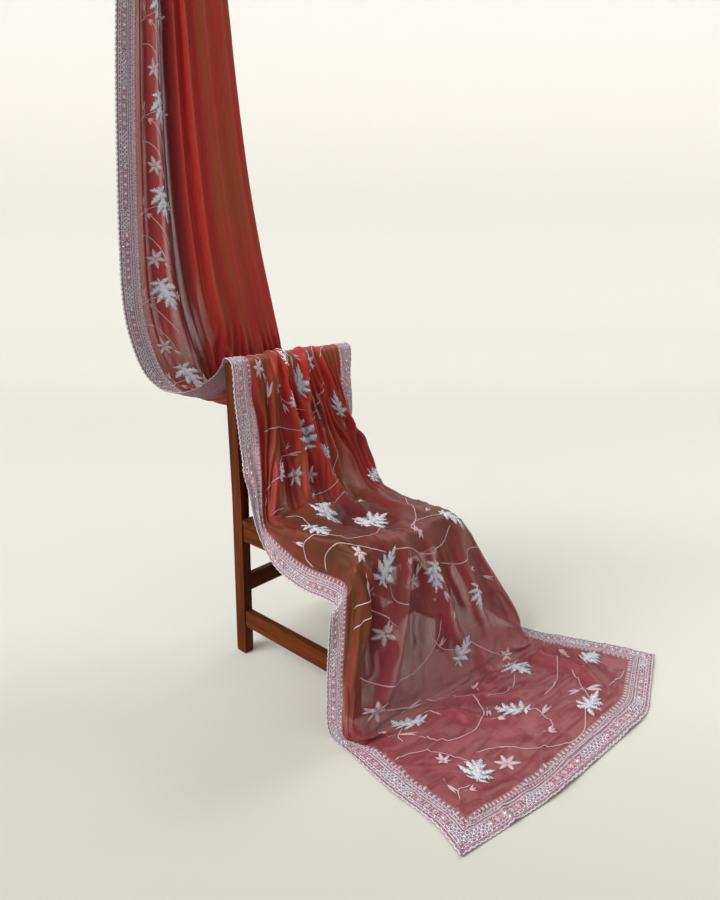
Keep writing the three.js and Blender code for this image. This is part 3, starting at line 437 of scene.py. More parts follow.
@dataclass
class Drape:
    """The draped surface, on which everything that is drawn on the cut is laid."""

    shift: Spot
    step: float = 0.003
    along: np.ndarray = field(init=False)
    across: np.ndarray = field(init=False)
    points: np.ndarray = field(init=False)
    normals: np.ndarray = field(init=False)
    nets: dict[str, np.ndarray] = field(init=False)

    def __post_init__(self) -> None:
        """Works out the surface on a close net of places."""
        self.along = np.linspace(0.0, CLOTH_LENGTH, round(CLOTH_LENGTH / self.step) + 1)
        self.across = np.linspace(0.0, CLOTH_WIDTH, round(CLOTH_WIDTH / self.step) + 1)
        base = self.base()
        normals = self.normals_of(base)
        folds = sum(self.fold_height(fold) for fold in FOLDS + FINE_FOLDS)
        creases = self.gathers(base) + sum(self.crease_height(net) for net in CREASES)
        calm = 1.0 - RAIL_CALM * np.exp(-(((self.along - RAIL_AT) / RAIL_REACH) ** 2))[:, None]
        plain, sheer = (
            eased(side / reach[0])[None, :] * eased((end - self.along) / reach[1])[:, None]
            for side, end, reach in ((self.across - PLAIN_FROM, PLAIN_TO, PLAIN_SOFTNESS),
                                     (SHEER_TO - self.across, SHEER_END, SHEER_SOFTNESS)))
        calm = calm * (1.0 - PLAIN_CALM * plain)
        folds, creases = folds * calm, creases * calm
        points = base + normals * (folds + creases)[..., None]
        self.rest(points)
        self.points = points + np.array([*self.shift, 0.0])
        self.normals = self.normals_of(points)
        slope = np.hypot(*np.gradient(folds + creases, self.along, self.across))
        # Along the cloth and at the patches: density, the gold share of the painted sheen, and the
        # painted light and shade on the organza and on the border (pale).
        dense, golden, shade, pale = (
            np.interp(self.along, *np.array(profile).T)[:, None] + np.zeros_like(slope)
            for profile in (DENSITY, GLOW, PAINTED_SHADING, PAINTED_BORDER_SHADING))
        dense -= SHEER_SHARE * sheer
        for patch in PATCHES:
            near = np.exp(-((self.along[:, None] - patch.s) / patch.reach[0]) ** 2
                          - ((self.across[None, :] - patch.across) / patch.reach[1]) ** 2)
            dense, golden = dense + patch.dense * near, golden + patch.gold * near
            # Patches darken the organza's colour with painted shade.
            shade = shade * (1.0 + patch.shade * near)
        self.nets = {
            "gather": np.clip(0.85 * eased(slope - 0.06) + dense, 0.0, 1.0),
            "rise": np.clip((folds + CREASE_RISE * creases) / CREST_RISE, -1.0, 1.0),
            "glow": golden, "steep": eased(slope / STEEP_SLOPE),
            "open": np.clip(1.0 - dense / OPEN_DENSITY, 0.0, 1.0), "shade": shade, "pale": pale,
        }

    def section_points(self, section: Section) -> np.ndarray:
        """The softened outline of one section.

        Args:
            section: The section.

        Returns:
            One point for each place across the cloth.
        """
        left, left_bend = np.array(section.left), np.array(section.left_bend)
        right, right_bend = np.array(section.right), np.array(section.right_bend)
        left_share = min(BORDER_WIDTH / np.linalg.norm(left_bend - left), BORDER_SHARE)
        right_share = min(BORDER_WIDTH / np.linalg.norm(right_bend - right), BORDER_SHARE)
        knots = np.array([
            left, left + (left_bend - left) * left_share, left_bend,
            right_bend, right + (right_bend - right) * right_share, right,
        ])
        marks = (0.0, BORDER_WIDTH, section.left_at, section.right_at,
                 CLOTH_WIDTH - BORDER_WIDTH, CLOTH_WIDTH)
        reach = np.minimum(BEND_SOFTNESS, np.minimum(self.across, CLOTH_WIDTH - self.across))
        outline = np.zeros((len(self.across), 3))
        for shift, weight in BEND_SAMPLES:
            place = self.across + shift * reach
            spots = [np.interp(place, marks, knots[:, k]) for k in range(3)]
            outline += weight * np.stack(spots, -1)
        return outline

    def base(self) -> np.ndarray:
        """The smooth cloth without folds, by cubic curves from section to section."""
        stations = np.array([section.s for section in SECTIONS])
        outlines = np.stack([self.section_points(section) for section in SECTIONS])
        slopes = np.empty_like(outlines)
        spans = (stations[2:] - stations[:-2])[:, None, None]
        slopes[1:-1] = (outlines[2:] - outlines[:-2]) / spans
        slopes[0] = (outlines[1] - outlines[0]) / (stations[1] - stations[0])
        slopes[-1] = (outlines[-1] - outlines[-2]) / (stations[-1] - stations[-2])
        k = np.clip(np.searchsorted(stations, self.along, side="right") - 1, 0, len(stations) - 2)
        span = (stations[k + 1] - stations[k])[:, None, None]
        u = (self.along - stations[k])[:, None, None] / span
        start = 2 * u**3 - 3 * u**2 + 1
        return (outlines[k] * start + outlines[k + 1] * (1 - start)
                + slopes[k] * (u**3 - 2 * u**2 + u) * span + slopes[k + 1] * (u**3 - u**2) * span)

    @staticmethod
    def normals_of(points: np.ndarray) -> np.ndarray:
        """Unit normals of the outer face, away from the chair and the floor."""
        normals = np.cross(np.gradient(points, axis=0), np.gradient(points, axis=1))
        return normals / np.linalg.norm(normals, axis=-1, keepdims=True)

    def fold_height(self, fold: Fold) -> np.ndarray:
        """Height of one fold at every place.

        Args:
            fold: The fold.

        Returns:
            Heights, along by across.
        """
        s, a = self.along[:, None], self.across[None, :]
        path = np.array(fold.path)
        runs = np.diff(path, axis=0)
        lengths = np.hypot(runs[:, 0], runs[:, 1])
        nearest = np.full((len(self.along), len(self.across)), np.inf)
        share = np.zeros_like(nearest)
        for k, length in enumerate(lengths):
            down, right = s - path[k, 0], a - path[k, 1]
            u = np.clip((down * runs[k, 0] + right * runs[k, 1]) / length**2, 0, 1)
            distance = np.hypot(down - u * runs[k, 0], right - u * runs[k, 1])
            closer = distance < nearest
            nearest = np.where(closer, distance, nearest)
            share = np.where(closer, (lengths[:k].sum() + u * length) / lengths.sum(), share)
        swell = fold.height * np.exp(-((nearest / fold.width) ** 2))
        for way, fade in ((share, fold.fade_in), (1 - share, fold.fade_out)):
            if fade:
                swell = swell * eased(way / fade)
        return swell

    def gathers(self, base: np.ndarray) -> np.ndarray:
        """Small pleats that take up the spare width where the cloth is drawn in.

        Args:
            base: The smooth cloth's points.

        Returns:
            Heights, along by across.
        """
        width = np.linalg.norm(np.gradient(base, self.across, axis=1), axis=-1)
        span = np.clip(width, GATHER_NARROWEST, 1.0)
        spare = np.sqrt(np.minimum(1.0 / span - 1.0, GATHER_MOST))
        depth = GATHER_PITCH * span / math.pi * spare
        wander = lattice_noise(GATHER_SEED, self.along, self.across, GATHER_WANDER)
        pleats = np.sin(math.tau * (self.across[None, :] / GATHER_PITCH + 0.9 * wander))
        share = np.interp(self.along, *np.array(GATHERED).T)[:, None]
        return depth * pleats * share

    def crease_height(self, net: Creases) -> np.ndarray:
        """Height of a net of fine creases at every place.

        Args:
            net: The net of creases.

        Returns:
            Heights, along by across.
        """
        noise = lattice_noise(net.seed, self.along, self.across, (net.along, net.across))
        crest = np.maximum(1.0 - np.abs(noise) * 3.2, 0.0) ** 1.5
        height = (noise * (1 - net.sharpness) + crest * net.sharpness) * net.height
        ends = np.ones_like(self.along)
        if net.start > 0:
            ends = eased((self.along - net.start) / CREASE_MARGIN)
        if net.end < CLOTH_LENGTH:
            ends = ends * eased((net.end - self.along) / CREASE_MARGIN)
        sides = 0.35 + 0.65 * eased(np.minimum(self.across, CLOTH_WIDTH - self.across) / 0.1)
        return height * ends[:, None] * sides[None, :]

    @staticmethod
    def rest(points: np.ndarray) -> None:
        """Keeps the cloth on the seat's board and on the floor.

        Args:
            points: The surface's points before the frame's shift, changed in place.
        """
        rise = points[..., 2] - SEAT_TOP
        over_seat = ((np.abs(points[..., 0]) < SEAT_HALF_WIDTH) & (points[..., 1] > SEAT_FRONT)
                     & (points[..., 1] < SEAT_BACK) & (rise < SEAT_REACH_ABOVE)
                     & (rise > -SEAT_REACH_BELOW))
        on_board = SEAT_TOP + CLOTH_LIFT + CLOTH_WALL
        points[..., 2] = np.where(over_seat, np.maximum(points[..., 2], on_board), points[..., 2])
        points[..., 2] = np.maximum(points[..., 2], CLOTH_WALL)

    def sample(self, values: np.ndarray, flat: np.ndarray) -> np.ndarray:
        """Values of the net at places on the cut.

        Args:
            values: An array over the net, along by across.
            flat: Places on the cut, (across, along) in the first two columns.

        Returns:
            One value, or one row of values, for each place.
        """
        j = np.clip(flat[:, 0] / CLOTH_WIDTH, 0, 1) * (len(self.across) - 1)
        i = np.clip(flat[:, 1] / CLOTH_LENGTH, 0, 1) * (len(self.along) - 1)
        row = np.minimum(i.astype(int), len(self.along) - 2)
        column = np.minimum(j.astype(int), len(self.across) - 2)
        down, right = i - row, j - column
        if values.ndim == 3:
            down, right = down[:, None], right[:, None]
        upper = values[row, column] * (1 - right) + values[row, column + 1] * right
        lower = values[row + 1, column] * (1 - right) + values[row + 1, column + 1] * right
        return upper * (1 - down) + lower * down

    def place(self, flat: np.ndarray) -> np.ndarray:
        """Lays points of the cut on the drape.

        Args:
            flat: Points as (across, along, height above the outer face).

        Returns:
            Points in the row's frame.
        """
        normals = self.sample(self.normals, flat)
        normals /= np.linalg.norm(normals, axis=1, keepdims=True)
        return self.sample(self.points, flat) + normals * flat[:, 2:3]


@dataclass(frozen=True)
class Cluster:
    """A silver leaf of several toothed lobes, worked with beads."""

    spot: Spot
    aim: float
    size: float = 0.1


@dataclass(frozen=True)
class Blossom:
    """A pale pink flower of narrow petals."""

    spot: Spot
    aim: float = 0.0
    petals: int = 6
    size: float = 0.052


@dataclass(frozen=True)
class Leaf:
    """A pale pink leaf on its stalk."""

    spot: Spot
    aim: float
    length: float = 0.034
    width: float = 0.013


@dataclass(frozen=True)
class Vine:
    """A couched thread through (s, across) points."""

    path: tuple[Spot, ...]
    width: float = 0.0032

    @property
    def spot(self) -> Spot:
        """Where it starts."""
        return self.path[0]


# The embroidery of the end part, from the rail to the end: places as (s, across), aims in degrees,
# 0 across the cloth to its right edge and 90 along it to its end.
CLUSTERS: tuple[Cluster, ...] = tuple(Cluster(*row) for row in (
    ((1.755, 0.435), -10, 0.095), ((1.785, 0.36), -80, 0.06), ((1.905, 0.345), -100, 0.062),
    ((2.15, 0.235), -70, 0.064), ((1.8, 0.69), -60, 0.07), ((1.86, 0.49), -60, 0.105),
    ((2.04, 0.42), -90, 0.16), ((1.965, 0.79), -80, 0.11), ((2.245, 0.8), -20, 0.085),
    ((2.125, 0.545), -100, 0.07), ((2.355, 0.4), -50, 0.165), ((2.475, 0.53), 0, 0.165),
    ((2.47, 0.215), 110, 0.13), ((2.735, 0.305), -50, 0.125), ((2.655, 0.78), 70, 0.11),
    ((2.8, 0.535), 100, 0.105), ((2.915, 0.7), 110, 0.1), ((3.08, 0.575), -40, 0.105),
    ((3.255, 0.72), 100, 0.12), ((3.48, 0.955), 40, 0.105), ((3.56, 0.69), -10, 0.105),
    ((3.42, 0.525), -120, 0.11), ((3.225, 0.32), -110, 0.105), ((3.515, 0.25), -30, 0.115),
    ((2.06, 0.95), -70, 0.09), ((2.56, 0.94), 20, 0.095), ((2.96, 0.93), 80, 0.095),
))
BLOSSOMS: tuple[Blossom, ...] = tuple(Blossom(*row) for row in (
    ((1.738, 0.32), 20), ((1.858, 0.262), 70, 5, 0.048), ((2.135, 0.225), 40, 6, 0.05),
    ((2.17, 0.32), 10, 6, 0.062), ((2.18, 0.43), 80, 5, 0.05), ((2.43, 0.5), 30, 5, 0.046),
    ((2.665, 0.185), 15, 6, 0.05), ((2.668, 0.515), 0, 5, 0.04), ((2.805, 0.455), 60, 5, 0.04),
    ((2.905, 0.28), 30, 6, 0.06), ((3.17, 0.745), 10, 5, 0.046), ((3.365, 0.905), 45, 6, 0.056),
    ((3.11, 0.255), 25, 6, 0.056), ((3.425, 0.225), 0, 6, 0.046), ((3.54, 0.345), 50, 6, 0.056),
    ((2.37, 0.9), 20, 6, 0.05), ((2.78, 0.93), 50, 5, 0.05),
))
BUDS: tuple[Leaf, ...] = tuple(Leaf(*row) for row in (
    ((3.245, 0.55), -60, 0.026, 0.02), ((3.43, 0.46), 40, 0.026, 0.02),
    ((3.55, 0.52), 20, 0.026, 0.02), ((3.55, 0.175), 20, 0.022, 0.016),
    ((2.73, 0.4), -80, 0.024, 0.018),
))
LEAVES: tuple[Leaf, ...] = tuple(Leaf(*row) for row in (
    ((1.785, 0.54), 20, 0.042, 0.016), ((1.8, 0.475), -70, 0.044, 0.018),
    ((1.93, 0.31), 60, 0.036), ((2.07, 0.3), -20, 0.036), ((1.87, 0.178), -80, 0.046, 0.017),
    ((2.1, 0.32), 10), ((2.125, 0.41), -40, 0.032), ((2.355, 0.6), -10, 0.04, 0.016),
    ((2.45, 0.125), 80, 0.034, 0.016), ((2.755, 0.182), 80, 0.044, 0.019),
    ((2.58, 0.74), -20, 0.04), ((2.775, 0.47), -90, 0.04), ((2.87, 0.55), 80, 0.034),
    ((2.935, 0.56), 100, 0.034), ((2.835, 0.75), 10, 0.042, 0.016), ((2.88, 0.805), 30, 0.036),
    ((3.02, 0.5), -40, 0.036), ((3.53, 0.75), 60, 0.044, 0.017),
    ((3.495, 0.708), -160, 0.04, 0.016), ((3.37, 0.47), 130, 0.034),
    ((3.485, 0.58), -10, 0.04, 0.016), ((3.16, 0.375), 0, 0.044, 0.017),
    ((3.205, 0.25), -70, 0.042, 0.016), ((3.27, 0.265), 60, 0.044, 0.017),
    ((3.515, 0.13), 100, 0.036), ((3.1, 0.23), 200, 0.036), ((2.24, 0.42), 150, 0.03),
))
VINES: tuple[Vine, ...] = tuple(Vine(path) for path in (
    ((1.735, 0.865), (1.79, 0.74), (1.83, 0.64), (1.865, 0.52)),
    ((1.735, 0.985), (1.765, 0.9), (1.8, 0.8)),
    ((1.865, 0.72), (1.905, 0.66), (1.955, 0.59), (2.0, 0.51), (2.035, 0.455)),
    ((1.885, 0.28), (1.915, 0.32), (1.94, 0.39), (1.95, 0.46)),
    ((2.0, 0.12), (1.99, 0.2), (2.0, 0.29), (2.02, 0.37)),
    ((2.12, 0.205), (2.1, 0.255), (2.1, 0.31), (2.1, 0.36)),
    ((2.225, 0.11), (2.18, 0.14), (2.16, 0.21), (2.17, 0.31)),
    ((2.215, 0.36), (2.24, 0.43), (2.24, 0.51), (2.21, 0.57)),
    ((2.215, 0.53), (2.16, 0.6), (2.095, 0.64), (2.02, 0.65)),
    ((2.275, 0.16), (2.255, 0.2), (2.25, 0.25)),
    ((2.32, 0.47), (2.3, 0.53), (2.31, 0.6)),
    ((2.545, 0.185), (2.5, 0.17), (2.47, 0.13), (2.49, 0.095), (2.535, 0.08)),
    ((2.59, 0.08), (2.565, 0.12), (2.585, 0.16), (2.65, 0.21), (2.69, 0.31)),
    ((2.3, 0.235), (2.37, 0.26), (2.48, 0.21), (2.57, 0.2), (2.63, 0.28), (2.6, 0.42)),
    ((2.755, 0.275), (2.78, 0.2), (2.805, 0.125)),
    ((2.775, 0.31), (2.83, 0.33), (2.85, 0.38)),
    ((2.43, 0.81), (2.5, 0.74), (2.59, 0.64), (2.665, 0.49)),
    ((2.65, 0.5), (2.625, 0.58), (2.62, 0.68), (2.645, 0.76)),
    ((2.685, 0.33), (2.7, 0.43), (2.735, 0.52), (2.725, 0.64), (2.68, 0.735)),
    ((2.78, 0.6), (2.8, 0.69), (2.77, 0.78), (2.78, 0.87)),
    ((2.86, 0.13), (2.83, 0.19), (2.845, 0.26), (2.895, 0.32)),
    ((2.99, 0.18), (3.05, 0.28), (3.065, 0.39), (3.01, 0.48), (2.94, 0.52)),
    ((3.6, 0.95), (3.59, 0.89), (3.56, 0.815)),
    ((3.34, 0.82), (3.39, 0.76), (3.43, 0.7), (3.44, 0.63)),
    ((3.28, 0.68), (3.33, 0.62), (3.34, 0.56), (3.32, 0.51)),
    ((3.43, 0.78), (3.49, 0.745), (3.56, 0.705)),
    ((3.42, 0.52), (3.47, 0.56), (3.53, 0.545), (3.55, 0.52)),
    ((3.09, 0.21), (3.13, 0.3), (3.16, 0.37)),
    ((3.225, 0.34), (3.25, 0.37), (3.29, 0.37)),
    ((3.3, 0.2), (3.265, 0.235), (3.235, 0.29)),
    ((3.16, 0.42), (3.25, 0.48), (3.345, 0.475), (3.395, 0.4), (3.375, 0.31), (3.305, 0.265)),
    ((3.565, 0.655), (3.605, 0.58), (3.6, 0.5), (3.55, 0.43), (3.48, 0.365), (3.46, 0.32)),
    ((3.35, 0.08), (3.355, 0.17), (3.395, 0.245), (3.48, 0.275)),
    ((3.56, 0.105), (3.53, 0.14), (3.54, 0.18)),
    ((3.07, 0.56), (3.04, 0.5), (2.99, 0.47)),
    ((3.06, 0.61), (3.11, 0.66), (3.17, 0.74)),
    ((2.06, 0.94), (2.18, 0.88), (2.25, 0.83)),
    ((2.36, 0.9), (2.46, 0.88), (2.55, 0.93)),
    ((2.78, 0.93), (2.86, 0.9), (2.95, 0.93), (3.04, 0.91)),
))

# The row of sprays beside the left border, from the top to the loop.
SPRAY_REPEAT = 0.302
SPRAY_FIRST = 0.105
SPRAY_LAST = 1.66
SPRAY_ACROSS = ((0.0, 0.212), (0.4, 0.2), (0.7, 0.182), (1.0, 0.16), (1.7, 0.165))
# Lobes of a silver leaf: aim from its axis in degrees, share of its length, where each springs.
CLUSTER_LOBES = (
    (0.0, 0.38, 0.56), (-30.0, 0.32, 0.5), (32.0, 0.31, 0.47), (-48.0, 0.42, 0.33),
    (50.0, 0.43, 0.3),
    (-70.0, 0.45, 0.17), (73.0, 0.44, 0.15), (-105.0, 0.28, 0.08), (110.0, 0.27, 0.07),
    (176.0, 0.14, 0.06),
)
CLUSTER_CORE = (0.34, 0.78, 0.0)
CLUSTER_HEART = 0.35
LOBE_WIDTH = 0.44
SEQUIN_PLACES = (0.22, 0.48, 0.72)
LIFT = 0.0004
LINE_STEP = 0.004
VINE_HEIGHT = 0.0014
STALK_WIDTH = 0.0026
STALK_HEIGHT = 0.0012


def pointing(aim: float) -> np.ndarray:
    """The direction of an aim in degrees, as (s, across)."""
    return np.array([math.sin(math.radians(aim)), math.cos(math.radians(aim))])


@dataclass(frozen=True)
class Stamp:
    """A small closed shape, made once with mesh operators and stamped many times on the cut."""

    verts: np.ndarray
    faces: tuple[tuple[int, ...], ...]

    @classmethod
    def of(cls, bm: bmesh.types.BMesh) -> Stamp:
        """Takes the shape of a bmesh, which is then freed, and returns the stamp."""
        bmesh.ops.recalc_face_normals(bm, faces=bm.faces[:])
        bm.verts.index_update()
        verts = np.array([vert.co[:] for vert in bm.verts])
        faces = tuple(tuple(vert.index for vert in face.verts) for face in bm.faces)
        bm.free()
        return cls(verts, faces)

    @classmethod
    def leaf(cls, steps: int, fullness: float, teeth: float = 0.0) -> Stamp:
        """A pointed leaf, one unit long and one wide, domed along its middle.

        Args:
            steps: Rows of faces along it.
            fullness: Where its widest place lies: 1 in the middle, less towards its stalk.
            teeth: Depth of its teeth as a share of its half width.

        Returns:
            The stamp, along +Y.
        """
        bm = bmesh.new()
        bmesh.ops.create_grid(bm, x_segments=2, y_segments=steps, size=0.5)
        for vert in bm.verts:
            side, along = vert.co.x * 2.0, min(max(vert.co.y + 0.5, 0.0), 1.0)
            tooth = teeth if round(along * steps) % 2 else -teeth
            half = 0.5 * math.sin(math.pi * along**fullness) * (1.0 + tooth)
            dome = (1.0 - 0.8 * abs(side)) * math.sin(math.pi * along) ** 0.5
            vert.co = (side * half, along, dome)
        bmesh.ops.remove_doubles(bm, verts=bm.verts[:], dist=1e-4)
        bmesh.ops.solidify(bm, geom=bm.faces[:], thickness=0.35)
        return cls.of(bm)

    @classmethod
    def disc(cls, sides: int, crown: float) -> Stamp:
        """A small disc, one unit across, with a smaller crown.

        Args:
            sides: Sides of its outline.
            crown: Width of its crown as a share of its own.

        Returns:
            The stamp.
        """
        bm = bmesh.new()
        bmesh.ops.create_cone(bm, cap_ends=True, segments=sides, radius1=0.5, radius2=0.5 * crown,
                              depth=1.0, matrix=Matrix.Translation((0, 0, 0.5)))
        return cls.of(bm)


def smooth_path(points: np.ndarray, step: float) -> np.ndarray:
    """A smooth line through points, at even steps.

    Args:
        points: The points, in two columns.
        step: Distance between the places of the line.

    Returns:
        The line's points.
    """
    before = np.vstack([2 * points[0] - points[1], points[:-1]])
    after = np.vstack([points[1:], 2 * points[-1] - points[-2]])
    slopes = (after - before) / 2
    line = [points[:1]]
    for k in range(len(points) - 1):
        u = np.linspace(0, 1, 13)[1:, None]
        start = 2 * u**3 - 3 * u**2 + 1
        line.append(points[k] * start + points[k + 1] * (1 - start)
                    + slopes[k] * (u**3 - 2 * u**2 + u) + slopes[k + 1] * (u**3 - u**2))
    dense = np.vstack(line)
    run = np.concatenate([[0], np.cumsum(np.hypot(*np.diff(dense, axis=0).T))])
    marks = np.linspace(0, run[-1], max(round(run[-1] / step), 3) + 1)
    return np.stack([np.interp(marks, run, dense[:, k]) for k in range(2)], -1)


@dataclass
class Stitching:
    """Shapes and threads worked on the cut with one kind of thread, gathered for one piece."""

    finish: Material
    verts: list[np.ndarray] = field(default_factory=list)
    faces: list[tuple[int, ...]] = field(default_factory=list)
    count: int = 0

    def add(self, verts: np.ndarray, faces: tuple[tuple[int, ...], ...]) -> None:
        """Adds a shape that lies on the cut.

        Args:
            verts: Its points as (across, along, height).
            faces: Its faces.
        """
        self.verts.append(verts)
        self.faces.extend(tuple(k + self.count for k in face) for face in faces)
        self.count += len(verts)

    def stamp(self, shape: Stamp, spot: Spot, aim: float, size: Point, lift: float = LIFT,
              tilt: Spot = (0.0, 0.0)) -> None:
        """Stamps a shape on the cut.

        Args:
            shape: The stamp.
            spot: Where, as (s, across).
            aim: Where its +Y points, in degrees from across the cloth to along it.
            size: Its width, length and height.
            lift: Its height above the outer face.
            tilt: How much it leans, as rises per unit of its width and length.
        """
        local = shape.verts * np.array(size)
        turn = math.radians(aim)
        across = spot[1] + local[:, 0] * math.sin(turn) + local[:, 1] * math.cos(turn)
        along = spot[0] - local[:, 0] * math.cos(turn) + local[:, 1] * math.sin(turn)
        height = lift + local[:, 2] + local[:, 0] * tilt[0] + local[:, 1] * tilt[1]
        self.add(np.stack([across, along, height], -1), shape.faces)

    def thread(self, line: np.ndarray, width: float, height: float, pointed: bool = True) -> None:
        """Couches a round thread along a line on the cut.

        Args:
            line: The line's points as (s, across).
            width: The thread's width.
            height: Its height above the cloth.
            pointed: True where its ends run out in a point.
        """
        rows = len(line) - 1
        heading = np.gradient(line, axis=0)
        heading /= np.linalg.norm(heading, axis=1, keepdims=True)
        share = np.linspace(0, 1, rows + 1)
        swell = np.ones(rows + 1)
        if pointed:
            swell = np.clip(np.minimum(share, 1 - share) * rows / 3.0, 0.0, 1.0)
        bm = bmesh.new()
        bmesh.ops.create_grid(bm, x_segments=4, y_segments=rows, size=0.5)
        for vert in bm.verts:
            k = min(max(round((vert.co.y + 0.5) * rows), 0), rows)
            around = (vert.co.x + 0.5) * math.tau
            side = -0.5 * width * math.cos(around) * swell[k]
            up = height * (0.45 + 0.55 * math.sin(around)) * max(swell[k], 0.05)
            vert.co = (line[k, 1] + heading[k, 0] * side, line[k, 0] - heading[k, 1] * side,
                       LIFT + up)
        bmesh.ops.remove_doubles(bm, verts=bm.verts[:], dist=1e-6)
        shape = Stamp.of(bm)
        self.add(shape.verts, shape.faces)

    def build(self, name: str, slot: str, drape: Drape) -> Piece | None:
        """Lays the whole work on the drape as one piece.

        Args:
            name: The piece's name.
            slot: A material slot's name, passed on to dressed, which doesn't use it.
            drape: The drape.

        Returns:
            The piece, or None where nothing was worked.
        """
        if not self.verts:
            return None
        flat = np.vstack(self.verts)
        mesh = bpy.data.meshes.new(name)
        # Laying the cut on the drape turns it over, so the faces are turned with it.
        mesh.from_pydata(drape.place(flat).tolist(), [], [face[::-1] for face in self.faces])
        return dressed(mesh, name, flat[:, :2], self.finish, slot)


def dressed(mesh: bpy.types.Mesh, name: str, cut: np.ndarray, finish: Material,
            slot: str) -> Piece:
    """Makes a finished piece of a mesh, with the cut as its UV map.

    Args:
        mesh: The mesh, in the row's frame.
        name: The piece's name.
        cut: The UV map's point for each vertex.
        finish: Its material.
        slot: Not used.

    Returns:
        The piece, riding on the root body.
    """
    corner = np.empty(len(mesh.loops), dtype=np.int64)
    mesh.loops.foreach_get("vertex_index", corner)
    layer = mesh.uv_layers.new(name="cut")
    layer.data.foreach_set("uv", cut[corner].astype(np.float32).ravel())
    mesh.materials.append(finish)
    mesh.shade_smooth()
    mesh.update()
    piece = bpy.data.objects.new(name, mesh)
    bpy.context.scene.collection.objects.link(piece)
    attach(piece, "root")
    return piece


def strip(low: Spot, high: Spot, cell: Spot) -> bmesh.types.BMesh:
    """A flat strip of the cut.

    Args:
        low: Its lowest corner as (across, along).
        high: Its highest corner.
        cell: The size of its faces, across and along.

    Returns:
        The strip, its outer face down, so that it lies outwards once it is laid.
    """
    bm = bmesh.new()
    width, length = high[0] - low[0], high[1] - low[1]
    bmesh.ops.create_grid(bm, x_segments=round(width / cell[0]), y_segments=round(length / cell[1]),
                          size=0.5)
    bmesh.ops.scale(bm, vec=(width, length, 1.0), verts=bm.verts)
    centre = ((low[0] + high[0]) / 2, (low[1] + high[1]) / 2, 0.0)
    bmesh.ops.translate(bm, vec=centre, verts=bm.verts)
    bmesh.ops.reverse_faces(bm, faces=bm.faces[:])
    return bm


def laid(bm: bmesh.types.BMesh, name: str, drape: Drape, finish: Material, slot: str,
         thickness: float, cut: np.ndarray | None = None) -> Piece:
    """Lays a flat strip on the drape and gives it its thickness.

    Args:
        bm: The strip as (across, along, height).
        name: The piece's name.
        drape: The drape.
        finish: Its material.
        slot: A material slot's name, passed on to dressed, which doesn't use it.
        thickness: The cloth's thickness, inwards from its outer face.
        cut: The UV map's points, if they aren't the places on the cut.

    Returns:
        The piece.
    """
    mesh = bpy.data.meshes.new(name)
    bm.to_mesh(mesh)
    rims = np.array([edge.is_boundary for edge in bm.edges])
    bm.free()
    flat = np.empty(len(mesh.vertices) * 3)
    mesh.vertices.foreach_get("co", flat)
    flat = flat.reshape(-1, 3)
    mesh.vertices.foreach_set("co", drape.place(flat).astype(np.float32).ravel())
    for net, values in drape.nets.items():
        attribute = mesh.attributes.new(net, "FLOAT", "POINT")
        attribute.data.foreach_set("value", drape.sample(values, flat).astype(np.float32))
    piece = dressed(mesh, name, flat[:, :2] if cut is None else cut, finish, slot)
    mesh.attributes.new("sharp_edge", "BOOLEAN", "EDGE").data.foreach_set("value", rims)
    wall = piece.modifiers.new("thickness", "SOLIDIFY")
    wall.thickness = thickness
    wall.offset = -1.0
    return piece


class Edge(Enum):
    """The cloth's edges that carry a border."""

    LEFT = "left"
    RIGHT = "right"
    END = "end"


@dataclass(frozen=True)
class BorderRun:
    """A run of border along one edge of the cut, between two distances along that edge."""

    edge: Edge
    start: float
    end: float

    def spots(self, inset: np.ndarray, run: np.ndarray) -> np.ndarray:
        """Places on the cut.

        Args:
            inset: Distances in from the cloth's edge.
            run: Distances along the edge.

        Returns:
            Rows of (s, across).
        """
        inset, run = np.broadcast_arrays(np.asarray(inset, float), np.asarray(run, float))
        if self.edge is Edge.LEFT:
            return np.stack([run, inset], -1)
        if self.edge is Edge.RIGHT:
            return np.stack([run, CLOTH_WIDTH - inset], -1)
        return np.stack([CLOTH_LENGTH - inset, run], -1)

    def line(self, inset: float, step: float) -> np.ndarray:
        """Places along the whole run, at nearly even steps and between the mitres."""
        places = np.linspace(self.start, self.end, round((self.end - self.start) / step) + 1)
        return places[self.inside(inset, places)]

    def inside(self, inset: float, run: np.ndarray) -> np.ndarray:
        """Which distances along the edge lie on this run's side of the mitres."""
        if self.edge is Edge.END:
            return (run >= inset) & (run <= CLOTH_WIDTH - inset)
        return run <= CLOTH_LENGTH - inset

    @property
    def inward(self) -> float:
        """The aim that points into the cloth, in degrees."""
        return {Edge.LEFT: 0.0, Edge.RIGHT: 180.0, Edge.END: -90.0}[self.edge]

    @property
    def onward(self) -> float:
        """The aim that points along the run, in degrees."""
        return 0.0 if self.edge is Edge.END else 90.0

    def marks(self, pitch: float, inset: float, offset: float = 0.5) -> np.ndarray:
        """Even places along the run, on one count for the whole edge.

        Args:
            pitch: Distance between places.
            inset: Distance in from the edge, for the mitres.
            offset: Share of a pitch by which the first place is moved on.

        Returns:
            Distances along the edge.
        """
        first, last = (math.ceil(place / pitch - offset) for place in (self.start, self.end))
        places = (np.arange(first, last) + offset) * pitch
        return places[self.inside(inset, places)]


SCALLOP_PITCH = 0.0165
SCALLOP_DEPTH = 0.0034
SCALLOP_BAND = 0.012


def scallop(run: np.ndarray) -> np.ndarray:
    """How far the scalloped edge lies in at each distance along it."""
    return SCALLOP_DEPTH * (1.0 - np.abs(np.sin(math.pi * run / SCALLOP_PITCH)))


@dataclass
class Threads:
    """The finishes of everything that is sewn."""

    organza: Material
    band: Material
    silver: Material
    pink: Material
    sequin: Material


@dataclass
class Sewn:
    """A part of the saree, with the drape it is laid on and the finishes it is sewn with."""

    drape: Drape
    threads: Threads


